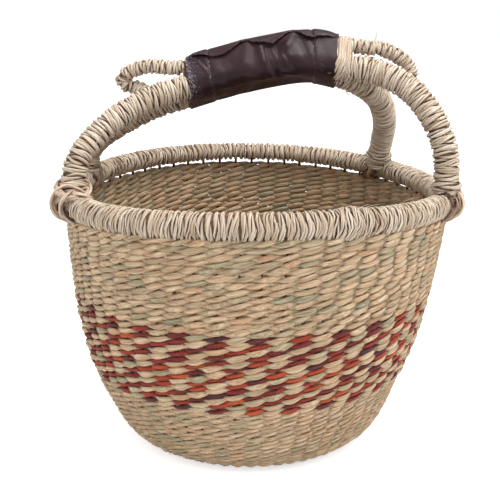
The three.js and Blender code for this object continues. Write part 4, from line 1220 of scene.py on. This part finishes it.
# loops of grass that tie the four feet to the rim
lash = {
    "fibres": 3, "samples": 64, "sides": 6, "thickness": 1.5, "width": 1.9, "spread": 0.9, "depth": 0.5, "twist": 3,
    # the innermost loop gets the most painted shade, each looser one less
    "clear": 1.0, "wobble": 2.4, "mostSunkShade": 0.6, "loopTone": 0.3,
    # random parts: how much, and how many samples apart
    "vary": {"twist": (0.8, 12), "thickness": (0.15, 8), "width": (0.25, 8), "tone": (0.14, 12), "loose": (0.4, 12),
             "grow": (0.4, 8), "ring": (0.4, 9)},
    # loops round the rim, how far they lie apart along it, how far the loosest stands off outside, how uneven they
    # are, how far they stand off inside the bowl and underneath, how far they shift along the rim there, rings round
    # the leg, how far those dip, and how pale the grass is
    "feet": {
        "frontRight": {"loops": 11, "along": 9, "bulge": 6.4, "lift": 1.8, "inside": -4.0, "under": -1.6, "shear": 0,
                       "rings": 0, "dip": 0, "tone": 0.42},
        "backRight": {"loops": 9, "along": 5, "bulge": 0.6, "lift": 1.6, "inside": 1.6, "under": 0, "shear": 11,
                      "rings": 0, "dip": 0, "tone": 0.06},
        "backLeft": {"loops": 8, "along": 8, "bulge": 2.4, "lift": 0.8, "inside": -1.0, "under": 0, "shear": 0,
                     "rings": 0, "dip": 0, "tone": 0.55},
        "frontLeft": {"loops": 14, "along": 12, "bulge": 9.0, "lift": 1.6, "inside": -1.5, "under": -1.2, "shear": 0,
                      "rings": 5, "dip": 4, "tone": 0.66},
    },
}
lashGrass = grassMaterial("lashGrass", {
    "fibreLength": 16, "fibreWidth": 0.5, "roughness": 0.6, "bump": 0.6, "bumpDepth": 0.3, "gloss": 0.3,
    "colours": [(0.0, (92, 68, 54)), (0.2, (142, 114, 94)), (0.45, (202, 178, 156)), (0.75, (232, 218, 200)),
                (1.0, (240, 230, 214))],
    "streakTint": (190, 174, 160), "blotchTint": (226, 214, 204), "recessTint": (112, 86, 70),
})


def lashWave(rng, name):
    amount, spacing = lash["vary"][name]
    return amount * smoothNoise(rng, lash["samples"], spacing)


def addLashStrand(store, rng, foot, line, away, tone, recess=0.0):
    # line and away: along the rim, outwards from its middle and up from its middle
    samples = lash["samples"]
    middle = footAngle(handle["feet"][foot][0])
    angle = middle + line[:, 0] / body["rimRadius"]
    centre = (body["rimRadius"] + line[:, 1])[:, None] * radial(angle)
    centre[:, 2] = rimBottom + rimHalfHeight(middle) + line[:, 2] - rimDip(angle)
    leanOver(centre)
    forward = unit(np.roll(centre, -1, axis=0) - np.roll(centre, 1, axis=0))
    outward = sideways(angle) * away[:, :1] + radial(angle) * away[:, 1:2]
    outward[:, 2] = away[:, 2]
    outward = squareTo(outward, forward)
    across = np.cross(forward, outward)
    twist = full * lash["twist"] * np.arange(samples) / samples + lashWave(rng, "twist")
    for fibre in range(lash["fibres"]):
        phase = twist + full * fibre / lash["fibres"]
        place = (centre + across * (lash["spread"] * np.cos(phase))[:, None]
                 + outward * (lash["depth"] * np.sin(phase))[:, None])
        thick = lash["thickness"] * (1 + lashWave(rng, "thickness"))
        wide = lash["width"] * (1 + lashWave(rng, "width"))
        fibreTone = tone + lashWave(rng, "tone") + 0.1 * rng.uniform(-1, 1)
        # painted shade on the inner loops and on the back of each fibre
        sunk = np.clip(recess + 0.5 * np.clip(-np.sin(phase), 0, 1), 0, 1)
        store.addTube(place, outward, across, thick, wide, lash["sides"], True, np.clip(fibreTone, 0, 1), recess=sunk)


def footLashing(name, foot, seed):
    rng = np.random.default_rng(seed)
    store = MeshStore()
    look = lash["feet"][foot]
    samples = lash["samples"]
    turn = np.arange(samples) / samples * full
    upright = rimHalfHeight(footAngle(handle["feet"][foot][0]))
    below = np.clip(-np.sin(turn), 0, 1)
    for k in range(look["loops"]):
        # closed loops round the rim that cross each other outside, looser from one to the next
        share = k / (look["loops"] - 1)
        side = rng.choice([-1, 1])
        along = look["along"] * (side * (0.3 + 0.8 * rng.uniform()) * np.sin(turn)
                                 + rng.uniform(-0.9, 0.9) * np.clip(np.cos(turn), -0.3, 1))
        along = along + lash["wobble"] * smoothNoise(rng, samples, 9) + look["shear"] * below
        loose = share * look["bulge"] * (1 + lashWave(rng, "loose"))
        grow = lash["clear"] + look["lift"] * rng.uniform() + loose * np.clip(np.cos(turn - 0.4), 0, 1) ** 1.6
        grow = grow + look["inside"] * np.clip(-np.cos(turn + 0.5), 0, 1) ** 0.6 + lashWave(rng, "grow")
        grow = grow + look["under"] * below ** 2
        line = np.stack([along, (body["rimWidth"] / 2 + grow) * np.cos(turn), (upright + grow) * np.sin(turn)], axis=1)
        away = np.stack([0 * turn, np.cos(turn), np.sin(turn)], axis=1)
        tone = look["tone"] + lash["loopTone"] * (share - 0.5) + 0.26 * rng.uniform(-1, 1)
        addLashStrand(store, rng, foot, line, away, tone, lash["mostSunkShade"] * (1 - share) ** 2)
    outPlace = handle["feet"][foot][1] * body["rimWidth"]
    for k in range(look["rings"]):
        # rings round the foot of the leg that hang down over the rim in front
        radius = legs["footRadius"] + 1.0 + 0.6 * k * rng.uniform() + lashWave(rng, "ring")
        rise = upright + 2.5 + 1.6 * rng.uniform(-1, 1) - look["dip"] * np.sin(turn + rng.uniform(-0.5, 0.5))
        line = np.stack([radius * np.sin(turn), outPlace + radius * np.cos(turn),
                         rise + lashWave(rng, "ring")], axis=1)
        away = np.stack([np.sin(turn), np.cos(turn), 0.3 + 0 * turn], axis=1)
        addLashStrand(store, rng, foot, line, away, look["tone"] + 0.1 * rng.uniform(-1, 1))
    return store.finish(name, lashGrass)


for nodeStart, foot, seed in (("front_right", "frontRight", 71), ("back_right", "backRight", 72),
                              ("back_left", "backLeft", 73), ("front_left", "frontLeft", 74)):
    settle(footLashing(foot + "Lashing", foot, seed), nodeStart + "_foot_lashing")

for node in ("front_arch_core", "back_arch_core", "curl_rod_core", "grip_binding"):
    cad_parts[node].data.materials.clear()
    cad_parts[node].data.materials.append(coreGrass)
print("feet tied")
